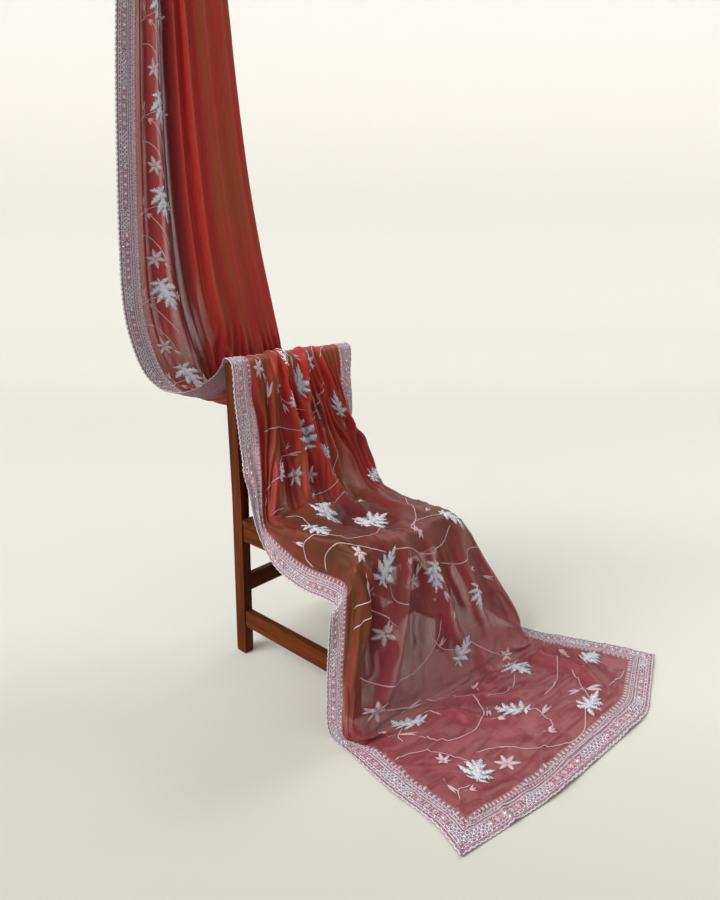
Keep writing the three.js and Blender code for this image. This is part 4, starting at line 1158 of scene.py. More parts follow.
@dataclass
class OrganzaField(Sewn):
    """The plain organza of one stretch, between its two borders."""

    stretch: Stretch
    cell: float = 0.006
    thickness: float = 0.0005

    def build(self) -> Piece:
        """Lays the field on the drape and returns it."""
        low = (BORDER_WIDTH - FIELD_LAP, self.stretch.start)
        high = (CLOTH_WIDTH - BORDER_WIDTH + FIELD_LAP, self.stretch.end)
        bm = strip(low, high, (self.cell, self.cell))
        name = f"organza_{self.stretch.name}"
        piece = laid(bm, name, self.drape, self.threads.organza, "organza", self.thickness)
        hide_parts(f"cloth_{self.stretch.name}")
        return piece


@dataclass
class BorderStrip(Sewn):
    """The woven ground of the border along one edge of a stretch, scalloped on its outer side."""

    cell: Spot = (0.005, 0.004)
    thickness: float = 0.0011
    lift: float = 0.0003

    def side(self, stretch: Stretch, edge: Edge) -> Piece:
        """Lays the strip along one side of a stretch.

        Args:
            stretch: The stretch.
            edge: Its left or right edge.

        Returns:
            The strip.
        """
        low = 0.0 if edge is Edge.LEFT else CLOTH_WIDTH - BORDER_WIDTH
        bm = strip((low, stretch.start), (low + BORDER_WIDTH, stretch.end), self.cell)
        name = f"border_{edge.value}_{stretch.name}"
        return self.finish(bm, f"band_{edge.value}_{stretch.name}", name)

    def across_end(self) -> Piece:
        """Lays the strip across the cloth's end, with its two mitres."""
        cell = (self.cell[1], self.cell[1])
        bm = strip((0.0, STRETCHES[-1].end), (CLOTH_WIDTH, CLOTH_LENGTH), cell)
        return self.finish(bm, "band_end", "border_end")

    def finish(self, bm: bmesh.types.BMesh, name: str, node: str) -> Piece:
        """Scallops the strip's outer side, lays it and puts it in its node's place.

        Args:
            bm: The flat strip.
            name: The piece's name.
            node: The CAD node it stands for.

        Returns:
            The strip.
        """
        flat = np.array([vert.co[:] for vert in bm.verts])
        left, right, end = flat[:, 0], CLOTH_WIDTH - flat[:, 0], CLOTH_LENGTH - flat[:, 1]
        side = np.minimum(left, right)
        at_end = end < side
        inset = np.where(at_end, end, side)
        run = np.where(at_end, flat[:, 0], flat[:, 1])
        nudge = scallop(run) * np.clip(1.0 - inset / SCALLOP_BAND, 0.0, 1.0)
        moved = flat.copy()
        moved[:, 0] += np.where(at_end, 0.0, np.where(left < right, nudge, -nudge))
        moved[:, 1] -= np.where(at_end, nudge, 0.0)
        moved[:, 2] = self.lift
        for vert, place in zip(bm.verts, moved):
            vert.co = place
        cut = np.stack([inset, run], -1)
        piece = laid(bm, name, self.drape, self.threads.band, "embroidery", self.thickness, cut)
        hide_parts(node)
        return piece


@dataclass
class Kit:
    """The work in hand on one stretch, its stamps and the source of its small differences."""

    threads: Threads
    cord: Material
    petal: Stamp
    seed: int
    lobe: Stamp | None = None
    sequin: Stamp = field(init=False)
    rng: np.random.Generator = field(init=False)
    cords: Stitching = field(init=False)
    pink: Stitching = field(init=False)
    silver: Stitching = field(init=False)
    discs: Stitching = field(init=False)

    def __post_init__(self) -> None:
        """Lays the threads out."""
        self.sequin, self.rng = Stamp.disc(6, 0.6), np.random.default_rng(self.seed)
        self.cords, self.pink, self.silver, self.discs = (
            Stitching(finish) for finish in (self.cord, self.threads.pink, self.threads.silver,
                                             self.threads.sequin))

    def sew_sequin(self, spot: Spot, size: Spot, lift: float, lean: float) -> None:
        """Sews one sequin on, leaning a little its own way.

        Args:
            spot: Where, as (s, across).
            size: Its width and thickness.
            lift: Its height above the cloth.
            lean: The most that it leans, as a rise per unit of its width.
        """
        self.discs.stamp(self.sequin, spot, 0.0, (size[0], *size), lift,
                         tuple(self.rng.uniform(-lean, lean, 2)))

    def build(self, kinds: tuple[str, ...], label: str, drape: Drape) -> list[Piece]:
        """Lays each kind of work on the drape as one piece.

        Args:
            kinds: What the cords, the pink work, the silver work and the sequins are called.
            label: The stretch's name.
            drape: The drape.

        Returns:
            The pieces that were made.
        """
        works = (self.cords, self.pink, self.silver, self.discs)
        made = [work.build(f"{kind}_{label}", "embroidery", drape)
                for kind, work in zip(kinds, works)]
        return [piece for piece in made if piece is not None]


@dataclass(frozen=True)
class Row:
    """A row of like shapes along the border: its pitch, its distance in and the shapes' size."""

    pitch: float
    inset: float
    size: Point


@dataclass
class BorderWork(Sewn):
    """The cords, leaflets, rosettes and sequins worked along the border's runs."""

    name: str
    runs: tuple[BorderRun, ...]
    cord_insets: tuple[float, ...] = (0.0125, 0.019, 0.041, 0.048, 0.0575)
    cord_width: float = 0.0024
    cord_height: float = 0.0012
    cord_step: float = 0.006
    edge_inset: float = 0.0022
    edge_mitre: float = 0.004
    edge_width: float = 0.004
    edge_height: float = 0.0018
    edge_step: float = 0.003
    leaflets: Row = Row(0.0155, 0.059, (0.0098, 0.0155, 0.0016))
    leaflet_mitre: float = 0.066
    beads: Row = Row(0.0155, 0.0605, (0.003, 0.003, 0.0012))
    stitches: Row = Row(0.0125, 0.0527, (0.0048, 0.0096, 0.0012))
    sequins: Row = Row(0.017, 0.0157, (0.0058, 0.0058, 0.0008))
    rosettes: Row = Row(0.027, 0.03, (0.0058, 0.0098, 0.0014))
    heart: Spot = (0.007, 0.0008)
    between: Point = (0.0036, 0.0085, 0.0012)
    lattice_rows: tuple[Spot, ...] = ((0.0245, 0.0), (0.03, 0.5), (0.0355, 0.0))
    lattice_petal: Point = (0.0036, 0.007, 0.0013)
    lattice_sequin: Spot = (0.0052, 0.0007)
    lattice_share: float = 0.6
    panel_pitch: float = 0.24
    panel_share: float = 0.42
    seed: int = 41

    def build(self) -> list[Piece]:
        """Works the border of this stretch and returns the pieces."""
        seed = self.seed + len(self.name)
        kit = Kit(self.threads, self.threads.silver, Stamp.leaf(3, 1.0), seed)
        leaflet, bead = Stamp.leaf(3, 0.75), Stamp.disc(5, 0.5)
        for run in self.runs:
            self.cords(run, kit.cords)
            for place in run.marks(self.leaflets.pitch, self.leaflet_mitre):
                spot = tuple(run.spots(self.leaflets.inset, place))
                kit.pink.stamp(leaflet, spot, run.inward, self.leaflets.size)
                spot = tuple(run.spots(self.beads.inset, place + self.beads.pitch / 2))
                kit.silver.stamp(bead, spot, 0.0, self.beads.size)
            for place in run.marks(self.rosettes.pitch, self.rosettes.inset):
                if (place / self.panel_pitch) % 1.0 < self.panel_share:
                    self.lattice(run, place, kit)
                else:
                    self.rosette(run, place, kit)
            for place in run.marks(self.stitches.pitch, self.stitches.inset):
                spot = tuple(run.spots(self.stitches.inset, place))
                kit.pink.stamp(kit.petal, spot, run.onward, self.stitches.size)
            for place in run.marks(self.sequins.pitch, self.sequins.inset):
                spot = tuple(run.spots(self.sequins.inset, place))
                kit.sew_sequin(spot, self.sequins.size[1:], 0.001, 0.25)
        kinds = ("border_cords", "border_leaflets", "border_beads", "border_sequins")
        return kit.build(kinds, self.name, self.drape)

    def cords(self, run: BorderRun, cords: Stitching) -> None:
        """Couches the silver cords and the scalloped edge's thread.

        Args:
            run: The run.
            cords: The work they are added to.
        """
        for inset in self.cord_insets:
            kept = run.line(inset, self.cord_step)
            if len(kept) > 3:
                cords.thread(run.spots(inset, kept), self.cord_width, self.cord_height,
                             pointed=False)
        kept = run.line(self.edge_mitre, self.edge_step)
        if len(kept) > 3:
            cords.thread(run.spots(self.edge_inset + scallop(kept), kept), self.edge_width,
                         self.edge_height, pointed=False)

    def rosette(self, run: BorderRun, place: float, kit: Kit) -> None:
        """Works one rosette of the pink panels.

        Args:
            run: The run.
            place: Distance along it.
            kit: The work in hand.
        """
        spot = tuple(run.spots(self.rosettes.inset, place))
        for k in range(6):
            kit.pink.stamp(kit.petal, spot, run.inward + 60.0 * k, self.rosettes.size)
        kit.sew_sequin(spot, self.heart, 0.0014, 0.3)
        beside = tuple(run.spots(self.rosettes.inset, place + self.rosettes.pitch / 2))
        for turn in (0.0, 180.0):
            kit.pink.stamp(kit.petal, beside, run.inward + turn, self.between)

    def lattice(self, run: BorderRun, place: float, kit: Kit) -> None:
        """Works one crossing of the dense silver panels.

        Args:
            run: The run.
            place: Distance along it.
            kit: The work in hand.
        """
        for row, step in self.lattice_rows:
            for half in (0.0, 0.5):
                spot = tuple(run.spots(row, place + (step / 2 + half) * self.rosettes.pitch))
                for k in range(4):
                    kit.silver.stamp(kit.petal, spot, 45.0 + 90.0 * k, self.lattice_petal)
                if kit.rng.random() < self.lattice_share:
                    kit.sew_sequin(spot, self.lattice_sequin, 0.0012, 0.3)


@dataclass
class FieldWork(Sewn):
    """The vines, flowers and silver leaves worked on the organza of one stretch."""

    stretch: Stretch
    seed: int = 73

    def build(self) -> list[Piece]:
        """Works the embroidery of this stretch and returns the pieces."""
        petal, lobe = Stamp.leaf(5, 0.8), Stamp.leaf(9, 0.8, 0.24)
        kit = Kit(self.threads, self.threads.pink, petal, self.seed, lobe)
        tables = (CLUSTERS, BLOSSOMS, LEAVES, BUDS, VINES)
        works = (self.cluster, self.blossom, self.leaf, self.bud, self.vine)
        for table, more, work in zip(tables, self.sprays(), works):
            for item in table + more:
                if self.holds(item.spot):
                    work(item, kit)
        kinds = ("vines", "flowers", "silver_leaves", "sequins")
        return kit.build(kinds, self.stretch.name, self.drape)

    def holds(self, spot: Spot) -> bool:
        """Whether a place (s, across) lies on this stretch."""
        last = self.stretch.end if self.stretch is not STRETCHES[-1] else CLOTH_LENGTH
        return self.stretch.start <= spot[0] < last

    @staticmethod
    def sprays() -> tuple[tuple[object, ...], ...]:
        """The repeating sprays beside the left border, above the end part."""
        clusters, blossoms, leaves, buds, vines = [], [], [], [], []
        marks, across = np.array(SPRAY_ACROSS).T
        count = int((SPRAY_LAST - SPRAY_FIRST) / SPRAY_REPEAT) + 1
        for k in range(-1, count):
            s = SPRAY_FIRST + k * SPRAY_REPEAT
            a = float(np.interp(s, marks, across))

            def at(down: float, right: float, s: float = s, a: float = a) -> Spot:
                return (max(s + down, 0.004), a + right)

            if k >= 0:
                clusters.append(Cluster(at(0.0, 0.0), 70.0, 0.128))
            blossoms += [Blossom(at(0.188, -0.042), 15.0, 6, 0.058),
                         Blossom(at(0.012, 0.055), 70.0, 5, 0.04)]
            leaves += [Leaf(at(0.212, -0.006), 50.0, 0.03, 0.01),
                       Leaf(at(0.0, -0.08), -80.0, 0.03, 0.01)]
            buds.append(Leaf(at(0.045, -0.052), 30.0, 0.024, 0.016))
            vines += [
                Vine((at(0.04, -0.05), at(0.075, -0.022), at(0.115, 0.004), at(0.15, 0.024))),
                Vine((at(0.112, -0.098), at(0.114, -0.06), at(0.15, -0.026), at(0.206, -0.004))),
                Vine((at(-0.004, -0.078), at(0.028, -0.076), at(0.052, -0.11))),
                Vine((at(0.03, -0.076), at(0.02, -0.045), at(0.014, -0.02)), 0.0028),
            ]
        return tuple(clusters), tuple(blossoms), tuple(leaves), tuple(buds), tuple(vines)

    def cluster(self, cluster: Cluster, kit: Kit) -> None:
        """Works a silver leaf of toothed lobes and its sequins.

        Args:
            cluster: The leaf.
            kit: The work in hand.
        """
        forward, centre = pointing(cluster.aim), np.array(cluster.spot)
        width, length, spring = (cluster.size * share for share in CLUSTER_CORE)
        root = centre + forward * (spring - CLUSTER_HEART * cluster.size)
        kit.silver.stamp(kit.lobe, tuple(root), cluster.aim, (width, length, 0.0026))
        for aim, share, spring in CLUSTER_LOBES:
            length = cluster.size * share * kit.rng.uniform(0.9, 1.1)
            root = centre + forward * cluster.size * (spring - CLUSTER_HEART)
            heading = cluster.aim + aim + kit.rng.uniform(-6.0, 6.0)
            kit.silver.stamp(kit.lobe, tuple(root), heading, (length * LOBE_WIDTH, length, 0.0024))
            step = pointing(heading)
            for place in SEQUIN_PLACES:
                jitter = kit.rng.uniform(-0.08, 0.08, 2) * length
                kit.sew_sequin(tuple(root + step * length * place + jitter), (0.0046, 0.0008),
                               0.0022, 0.35)

    def blossom(self, blossom: Blossom, kit: Kit) -> None:
        """Works a flower of narrow petals with a sequin at its heart.

        Args:
            blossom: The flower.
            kit: The work in hand.
        """
        for k in range(blossom.petals):
            heading = blossom.aim + 360.0 * k / blossom.petals + kit.rng.uniform(-9.0, 9.0)
            length = 0.62 * blossom.size * kit.rng.uniform(0.86, 1.1)
            kit.pink.stamp(kit.petal, blossom.spot, heading, (length * 0.46, length, 0.0018))
        kit.sew_sequin(blossom.spot, (0.0048, 0.001), 0.0016, 0.3)

    @staticmethod
    def sprig(leaf: Leaf, turns: tuple[float, ...], size: Point, stalk: Spot, kit: Kit) -> None:
        """Works petals that spring from one root, and their stalk.

        Args:
            leaf: The leaf or bud.
            turns: The petals' turns from its axis, in degrees.
            size: The petals' width, length and height.
            stalk: Where its end and its middle lie, as shares of the leaf's length behind the root.
            kit: The work in hand.
        """
        forward = pointing(leaf.aim)
        root = np.array(leaf.spot) - forward * leaf.length / 2
        for turn in turns:
            kit.pink.stamp(kit.petal, tuple(root), leaf.aim + turn, size)
        line = np.stack([root - forward * leaf.length * share for share in (*stalk, 0.0)])
        kit.pink.thread(smooth_path(line, LINE_STEP), STALK_WIDTH, STALK_HEIGHT)

    def leaf(self, leaf: Leaf, kit: Kit) -> None:
        """Works a leaf in two halves with an open vein."""
        size = (leaf.width * 0.66, leaf.length * 1.2, 0.0016)
        self.sprig(leaf, (-9.0, 9.0), size, (0.5, 0.2), kit)

    def bud(self, bud: Leaf, kit: Kit) -> None:
        """Works a bud of three petals that stand close together."""
        size = (bud.width * 0.45, bud.length, 0.0018)
        self.sprig(bud, (-24.0, 0.0, 24.0), size, (0.8, 0.3), kit)

    def vine(self, vine: Vine, kit: Kit) -> None:
        """Couches a vine."""
        kit.cords.thread(smooth_path(np.array(vine.path), LINE_STEP), vine.width, VINE_HEIGHT)


@dataclass
class Graph:
    """Adds and wires nodes in one tree, a material's or a group's."""

    tree: Tree

    def node(self, kind: str, inputs: dict[str | int, object] | None = None,
             **settings: object) -> bpy.types.Node:
        """Adds one node.

        Args:
            kind: Its type, without the prefix that all shader nodes share.
            inputs: A value or another node's socket for each of its sockets.
            settings: Its own options.

        Returns:
            The node.
        """
        prefix = "" if kind.startswith("NodeGroup") else "ShaderNode"
        made = self.tree.nodes.new(prefix + kind)
        for key, value in settings.items():
            setattr(made, key, value)
        for key, value in (inputs or {}).items():
            if isinstance(value, Socket):
                self.tree.links.new(value, made.inputs[key])
            else:
                made.inputs[key].default_value = value
        return made

    def math(self, operation: str, *values: object) -> Socket:
        """A Math node on up to three values."""
        return self.node("Math", dict(enumerate(values)), operation=operation).outputs[0]

    def product(self, first: object, second: object) -> Socket:
        """The product of two values."""
        return self.math("MULTIPLY", first, second)

    def total(self, first: object, second: object) -> Socket:
        """The sum of two values."""
        return self.math("ADD", first, second)

    def vector(self, operation: str, inputs: dict[int, object]) -> Socket:
        """A Vector Math node."""
        return self.node("VectorMath", inputs, operation=operation).outputs[0]

    def relief(self, strength: float, distance: float, height: Socket) -> Socket:
        """A normal that follows a height."""
        inputs = {"Strength": strength, "Distance": distance, "Height": height}
        return self.node("Bump", inputs).outputs[0]

    def layer(self, name: str) -> Socket:
        """The value of one of the mesh's layers."""
        return self.node("Attribute", attribute_name=name).outputs["Fac"]

    def outer(self) -> Socket:
        """1 on the outer face and 0 on the inner one."""
        return self.math("SUBTRACT", 1.0, self.node("NewGeometry").outputs["Backfacing"])

    def wire(self, shader: bpy.types.Node, sockets: dict[str, Socket]) -> None:
        """Wires values into the shader's sockets."""
        for key, value in sockets.items():
            self.tree.links.new(value, shader.inputs[key])

    def span(self, value: object, low: float, high: float, start: float = 0.0,
             end: float = 1.0) -> Socket:
        """Maps a value from low to high onto start to end, clipped."""
        inputs = {"Value": value, "From Min": low, "From Max": high, "To Min": start, "To Max": end}
        return self.node("MapRange", inputs).outputs[0]

    def mix(self, share: object, first: object, second: object) -> Socket:
        """Mixes two colours."""
        first, second = (value if isinstance(value, Socket) else (*value, 1.0)
                         for value in (first, second))
        return self.node("Mix", {0: share, 6: first, 7: second}, data_type="RGBA").outputs[2]

    def noise(self, vector: object, scale: float, detail: float = 2.0) -> Socket:
        """Smooth noise from 0 to 1."""
        inputs = {"Vector": vector, "Scale": scale, "Detail": detail}
        return self.node("TexNoise", inputs).outputs[0]

    def effect(self, group: Tree, **inputs: object) -> bpy.types.Node:
        """Places a shared effect."""
        return self.node("Group", {key.replace("_", " "): v for key, v in inputs.items()},
                         node_tree=group)


def shared(name: str, inputs: dict[str, str],
           outputs: dict[str, str]) -> tuple[Graph, Tree]:
    """Starts a shader node group with its named sockets.

    Args:
        name: The group's name.
        inputs: Socket type for each input.
        outputs: Socket type for each output.

    Returns:
        A graph of the group and the group itself.
    """
    tree = bpy.data.node_groups.new(name, "ShaderNodeTree")
    for in_out, sockets in (("INPUT", inputs), ("OUTPUT", outputs)):
        for label, kind in sockets.items():
            tree.interface.new_socket(name=label, in_out=in_out, socket_type=f"NodeSocket{kind}")
    return Graph(tree), tree


def streaks() -> Tree:
    """Noise that is drawn out along the cloth."""
    graph, tree = shared("streaks", {"Vector": "Vector", "Across": "Float", "Along": "Float"},
                         {"Value": "Float"})
    given = graph.node("NodeGroupInput").outputs
    scale = graph.node("CombineXYZ", {0: given["Across"], 1: given["Along"]}).outputs[0]
    place = graph.vector("MULTIPLY", {0: given["Vector"], 1: scale})
    graph.node("NodeGroupOutput", {"Value": graph.noise(place, 1.0, 4.0)})
    return tree


def slubs() -> Tree:
    """The thicker threads of a plain weave, both ways."""
    graph, tree = shared("slubs", {"Vector": "Vector", "Threads": "Float"},
                         {"Height": "Float", "Warp": "Float"})
    given = graph.node("NodeGroupInput").outputs
    long = graph.product(given["Threads"], 0.03)
    ways = []
    for across, along in ((given["Threads"], long), (long, given["Threads"])):
        scale = graph.node("CombineXYZ", {0: across, 1: along}).outputs[0]
        place = graph.vector("MULTIPLY", {0: given["Vector"], 1: scale})
        ways.append(graph.noise(place, 1.0, 1.0))
    graph.node("NodeGroupOutput", {"Height": graph.total(*ways), "Warp": ways[0]})
    return tree


def beads() -> Tree:
    """Small round beads and stitches, close together."""
    graph, tree = shared("beads", {"Vector": "Vector", "Scale": "Float"},
                         {"Height": "Float", "Tone": "Color"})
    given = graph.node("NodeGroupInput").outputs
    cells = graph.node("TexVoronoi", {"Vector": given["Vector"], "Scale": given["Scale"]})
    height = graph.span(cells.outputs["Distance"], 0.0, 0.7, 1.0, 0.0)
    graph.node("NodeGroupOutput", {"Height": height, "Tone": cells.outputs["Color"]})
    return tree


def grain() -> Tree:
    """Wood grain along the vector's third axis."""
    graph, tree = shared("grain", {"Vector": "Vector"}, {"Figure": "Float", "Pores": "Float"})
    given = graph.node("NodeGroupInput").outputs
    bend = graph.noise(given["Vector"], 2.2, 2.0)
    shift = graph.node("CombineXYZ", {0: graph.product(bend, 0.05)}).outputs[0]
    moved = graph.vector("ADD", {0: given["Vector"], 1: shift})
    broad, fine = (graph.node("Mapping", {"Vector": moved, "Scale": scale}).outputs[0]
                   for scale in ((42.0, 42.0, 3.2), (420.0, 420.0, 14.0)))
    graph.node("NodeGroupOutput", {"Figure": graph.noise(broad, 1.0, 5.0),
                                   "Pores": graph.noise(fine, 1.0, 2.0)})
    return tree


@dataclass
class Effects:
    """The effects that several finishes share, as node groups."""

    streaks: Tree = field(default_factory=streaks)
    slubs: Tree = field(default_factory=slubs)
    beads: Tree = field(default_factory=beads)
    grain: Tree = field(default_factory=grain)


def started(name: str, values: dict[str, object]) -> tuple[Graph, Material, bpy.types.Node]:
    """Starts a material with the values that don't change over its surface.

    Args:
        name: Its name.
        values: Values for the shader's own sockets.

    Returns:
        Its graph, the material and its shader.
    """
    material = bpy.data.materials.new(name)
    material.use_nodes = True
    shader = material.node_tree.nodes["Principled BSDF"]
    for key, value in values.items():
        shader.inputs[key].default_value = (*value, 1.0) if isinstance(value, tuple) else value
    return Graph(material.node_tree), material, shader


@dataclass(frozen=True)
class OrganzaFinish:
    """Sheer tissue organza, red one way of the weave and gold the other."""

    red: Colour = (0.41, 0.026, 0.022)
    gold: Colour = (0.245, 0.078, 0.019)
    rose: Colour = (0.24, 0.07, 0.09)
    thinnest: float = 0.7
    densest: float = 1.0
    roughness: float = 0.46
    metallic: float = 0.16
    sheen: float = 0.04
    # Painted shade in fold hollows and painted highlight on fold crests, as factors on the colour.
    hollow: float = 0.62
    crest: float = 1.16

    def build(self, effects: Effects) -> Material:
        """Makes the material.

        Args:
            effects: The shared effects.

        Returns:
            The material.
        """
        values = {"Sheen Weight": self.sheen, "Sheen Roughness": 0.4,
                  "Sheen Tint": (0.95, 0.72, 0.66),
                  "Specular IOR Level": 0.25}
        graph, material, shader = started("red and gold tissue organza", values)
        cut = graph.node("UVMap", uv_map="cut").outputs[0]
        gather, rise, glow, steep, opened, shade = (
            graph.layer(name) for name in ("gather", "rise", "glow", "steep", "open", "shade"))
        broad = graph.effect(effects.streaks, Vector=cut, Across=16.0, Along=2.4).outputs[0]
        fine = graph.effect(effects.streaks, Vector=cut, Across=150.0, Along=3.0).outputs[0]
        slubs = graph.effect(effects.slubs, Vector=cut, Threads=620.0).outputs
        # The red and the gold are the weave's own; the gold share is painted sheen: more gold on
        # crests and by the glow along the cloth, red on steep flanks, with random streaks.
        golden = graph.total(graph.span(broad, 0.34, 0.66, 0.12, 0.72), glow)
        golden = graph.total(golden, graph.span(fine, 0.3, 0.7, -0.16, 0.16))
        golden = graph.math("SUBTRACT", golden, graph.product(steep, 0.75))
        golden = graph.total(golden, graph.product(rise, 0.12))
        colour = graph.mix(graph.span(golden, 0.0, 1.0), self.red, self.gold)
        colour = graph.mix(graph.product(opened, 0.85), colour, self.rose)
        # The tone is the weave's slubs times painted shading: painted shade in hollows and painted
        # highlight on crests, the painted light and shade along the cloth, and painted shade on the
        # steep flanks of open cloth.
        slub = graph.span(slubs["Warp"], 0.3, 0.7, 0.84, 1.14)
        tone = graph.product(slub, graph.span(rise, -0.85, 0.85, self.hollow, self.crest))
        tone = graph.product(tone, shade)
        tone = graph.product(tone, graph.span(graph.product(steep, opened), 0.0, 0.5, 1.0, 0.66))
        dense = graph.span(gather, 0.0, 0.9, self.thinnest, self.densest)
        thin = graph.math("SUBTRACT", 1.0, gather)
        dense = graph.total(dense, graph.product(thin, graph.span(fine, 0.25, 0.75, -0.08, 0.08)))
        dense = graph.node("Clamp", {0: dense}).outputs[0]
        bump = graph.relief(0.3, 0.0012, graph.total(slubs["Height"], fine))
        rough, metal = self.roughness, self.metallic
        graph.wire(shader, {
            "Base Color": graph.vector("SCALE", {0: colour, 3: tone}),
            "Alpha": graph.product(dense, graph.outer()), "Normal": bump,
            "Roughness": graph.span(fine, 0.3, 0.7, rough - 0.08, rough + 0.1),
            "Metallic": graph.span(golden, 0.0, 1.0, metal * 0.6, metal * 1.6),
        })
        return material


@dataclass(frozen=True)
class BandFinish:
    """The border's ground: silver and pink thread close over the red organza."""

    ground: Colour = (0.36, 0.14, 0.18)
    pink: Colour = (0.78, 0.62, 0.74)
    silver: Colour = (0.9, 0.91, 1.0)
    palest: Colour = (0.98, 0.98, 1.0)
    repeat: float = 0.24
    silver_share: float = 0.42
    middle: float = 0.03
    half_width: Spot = (0.01, 0.013)
    row: float = 0.0042

    def build(self, effects: Effects) -> Material:
        """Makes the material, on the places along the edge.

        Args:
            effects: The shared effects.

        Returns:
            The material.
        """
        values = {"Specular IOR Level": 0.5}
        graph, material, shader = started("silver and pink border ground", values)
        cut = graph.node("UVMap", uv_map="cut").outputs[0]
        split = graph.node("SeparateXYZ", {0: cut}).outputs
        beads = graph.effect(effects.beads, Vector=cut, Scale=260.0).outputs
        panel = graph.math("FRACT", graph.math("DIVIDE", split[1], self.repeat))
        off = graph.math("ABSOLUTE", graph.math("SUBTRACT", split[0], self.middle))
        near = graph.math("SUBTRACT", 1.0, graph.span(off, *self.half_width))
        dense = graph.product(graph.math("LESS_THAN", panel, self.silver_share), near)
        rows = graph.math("SINE", graph.product(split[0], math.tau / self.row))
        stitched = graph.product(graph.span(rows, -0.6, 0.5, 0.35, 1.0), beads["Height"])
        work = graph.mix(dense, self.pink, self.silver)
        colour = graph.mix(graph.span(stitched, 0.18, 0.62), self.ground, work)
        colour = graph.mix(graph.span(split[0], 0.058, 0.061, 0.0, 0.55), colour, self.ground)
        # pale is painted light and shade on the border: its colour is scaled by it, and where it is
        # lowest the border fades to its ground.
        pale = graph.layer("pale")
        colour = graph.mix(graph.span(pale, 0.6, 0.84, 0.6, 0.0), colour, self.ground)
        colour = graph.vector("SCALE", {0: colour, 3: pale})
        solid = graph.span(split[0], 0.058, 0.064, 0.97, 0.78)
        bump = graph.relief(0.8, 0.0012, stitched)
        graph.wire(shader, {
            "Base Color": graph.vector("MINIMUM", {0: colour, 1: self.palest}),
            "Alpha": graph.product(solid, graph.outer()), "Normal": bump,
            "Roughness": graph.span(stitched, 0.2, 0.7, 0.62, 0.4),
            "Metallic": graph.product(dense, 0.35),
        })
        return material


@dataclass(frozen=True)
class ThreadFinish:
    """Sewn thread or beads, in two tones."""

    name: str
    light: Colour
    deep: Colour
    roughness: float
    metallic: float
    beads: float
    relief: float

    def build(self, effects: Effects) -> Material:
        """Makes the material.

        Args:
            effects: The shared effects.

        Returns:
            The material.
        """
        values = {"Metallic": self.metallic, "Specular IOR Level": 0.55}
        graph, material, shader = started(self.name, values)
        place = graph.node("TexCoord").outputs["Object"]
        beads = graph.effect(effects.beads, Vector=place, Scale=self.beads).outputs
        tone = graph.node("SeparateColor", {0: beads["Tone"]}).outputs[0]
        # Painted shade between beads: the colour darkens towards each bead's edge, with a random
        # tone per bead.
        share = graph.product(graph.span(beads["Height"], 0.1, 0.8),
                              graph.span(tone, 0.0, 1.0, 0.6, 1.0))
        bump = graph.relief(self.relief, 0.001, beads["Height"])
        rough = graph.span(tone, 0.0, 1.0, self.roughness - 0.08, self.roughness + 0.08)
        graph.wire(shader, {"Base Color": graph.mix(share, self.deep, self.light),
                            "Normal": bump, "Roughness": rough})
        return material


class Grain(Enum):
    """The way a member's grain runs, as the turn that brings it onto the third axis."""

    ACROSS = (0.0, math.pi / 2, 0.0)
    DEEP = (math.pi / 2, 0.0, 0.0)
    UPRIGHT = (0.0, 0.0, 0.0)


@dataclass(frozen=True)
class WoodFinish:
    """Oiled red-brown hardwood."""

    light: Colour = (0.128, 0.029, 0.004)
    deep: Colour = (0.056, 0.011, 0.001)
    roughness: float = 0.5

    def build(self, effects: Effects, grain: Grain) -> Material:
        """Makes the material for one way of the grain.

        Args:
            effects: The shared effects.
            grain: The way the grain runs.

        Returns:
            The material.
        """
        values = {"Coat Weight": 0.02, "Coat Roughness": 0.28, "Specular IOR Level": 0.06}
        graph, material, shader = started(f"hardwood, grain {grain.name.lower()}", values)
        place = graph.node("TexCoord").outputs["Object"]
        turned = graph.node("Mapping", {"Vector": place, "Rotation": grain.value}).outputs[0]
        wood = graph.effect(effects.grain, Vector=turned).outputs
        share = graph.total(graph.span(wood["Figure"], 0.32, 0.68),
                            graph.span(wood["Pores"], 0.35, 0.65, -0.22, 0.12))
        share = graph.node("Clamp", {0: share}).outputs[0]
        bump = graph.relief(0.25, 0.0005, wood["Pores"])
        rough = graph.span(wood["Pores"], 0.3, 0.7, self.roughness + 0.1, self.roughness - 0.06)
        graph.wire(shader, {"Base Color": graph.mix(share, self.deep, self.light),
                            "Normal": bump, "Roughness": rough})
        return material


@dataclass
class Chair:
    """The wooden chair that carries the cloth: its packed members with their wood."""

    members: dict[Grain, tuple[str, ...]] = field(default_factory=lambda: {
        Grain.UPRIGHT: ("rear_post_left", "rear_post_right", "front_leg_left", "front_leg_right"),
        Grain.DEEP: ("apron_left", "apron_right", "stretcher_left", "stretcher_right"),
        Grain.ACROSS: ("apron_front", "apron_rear", "stretcher_front", "stretcher_rear",
                       "seat_board", "mid_rail", "crest_rail"),
    })

    def build(self, nodes: dict[str, Piece], effects: Effects) -> list[str]:
        """Gives each member its wood, with the grain along it.

        Args:
            nodes: The frame's nodes.
            effects: The shared effects.

        Returns:
            The members' names.
        """
        wood = {grain: WoodFinish().build(effects, grain) for grain in Grain}
        for grain, names in self.members.items():
            for name in names:
                nodes[name].data.materials.clear()
                nodes[name].data.materials.append(wood[grain])
        return [name for names in self.members.values() for name in names]


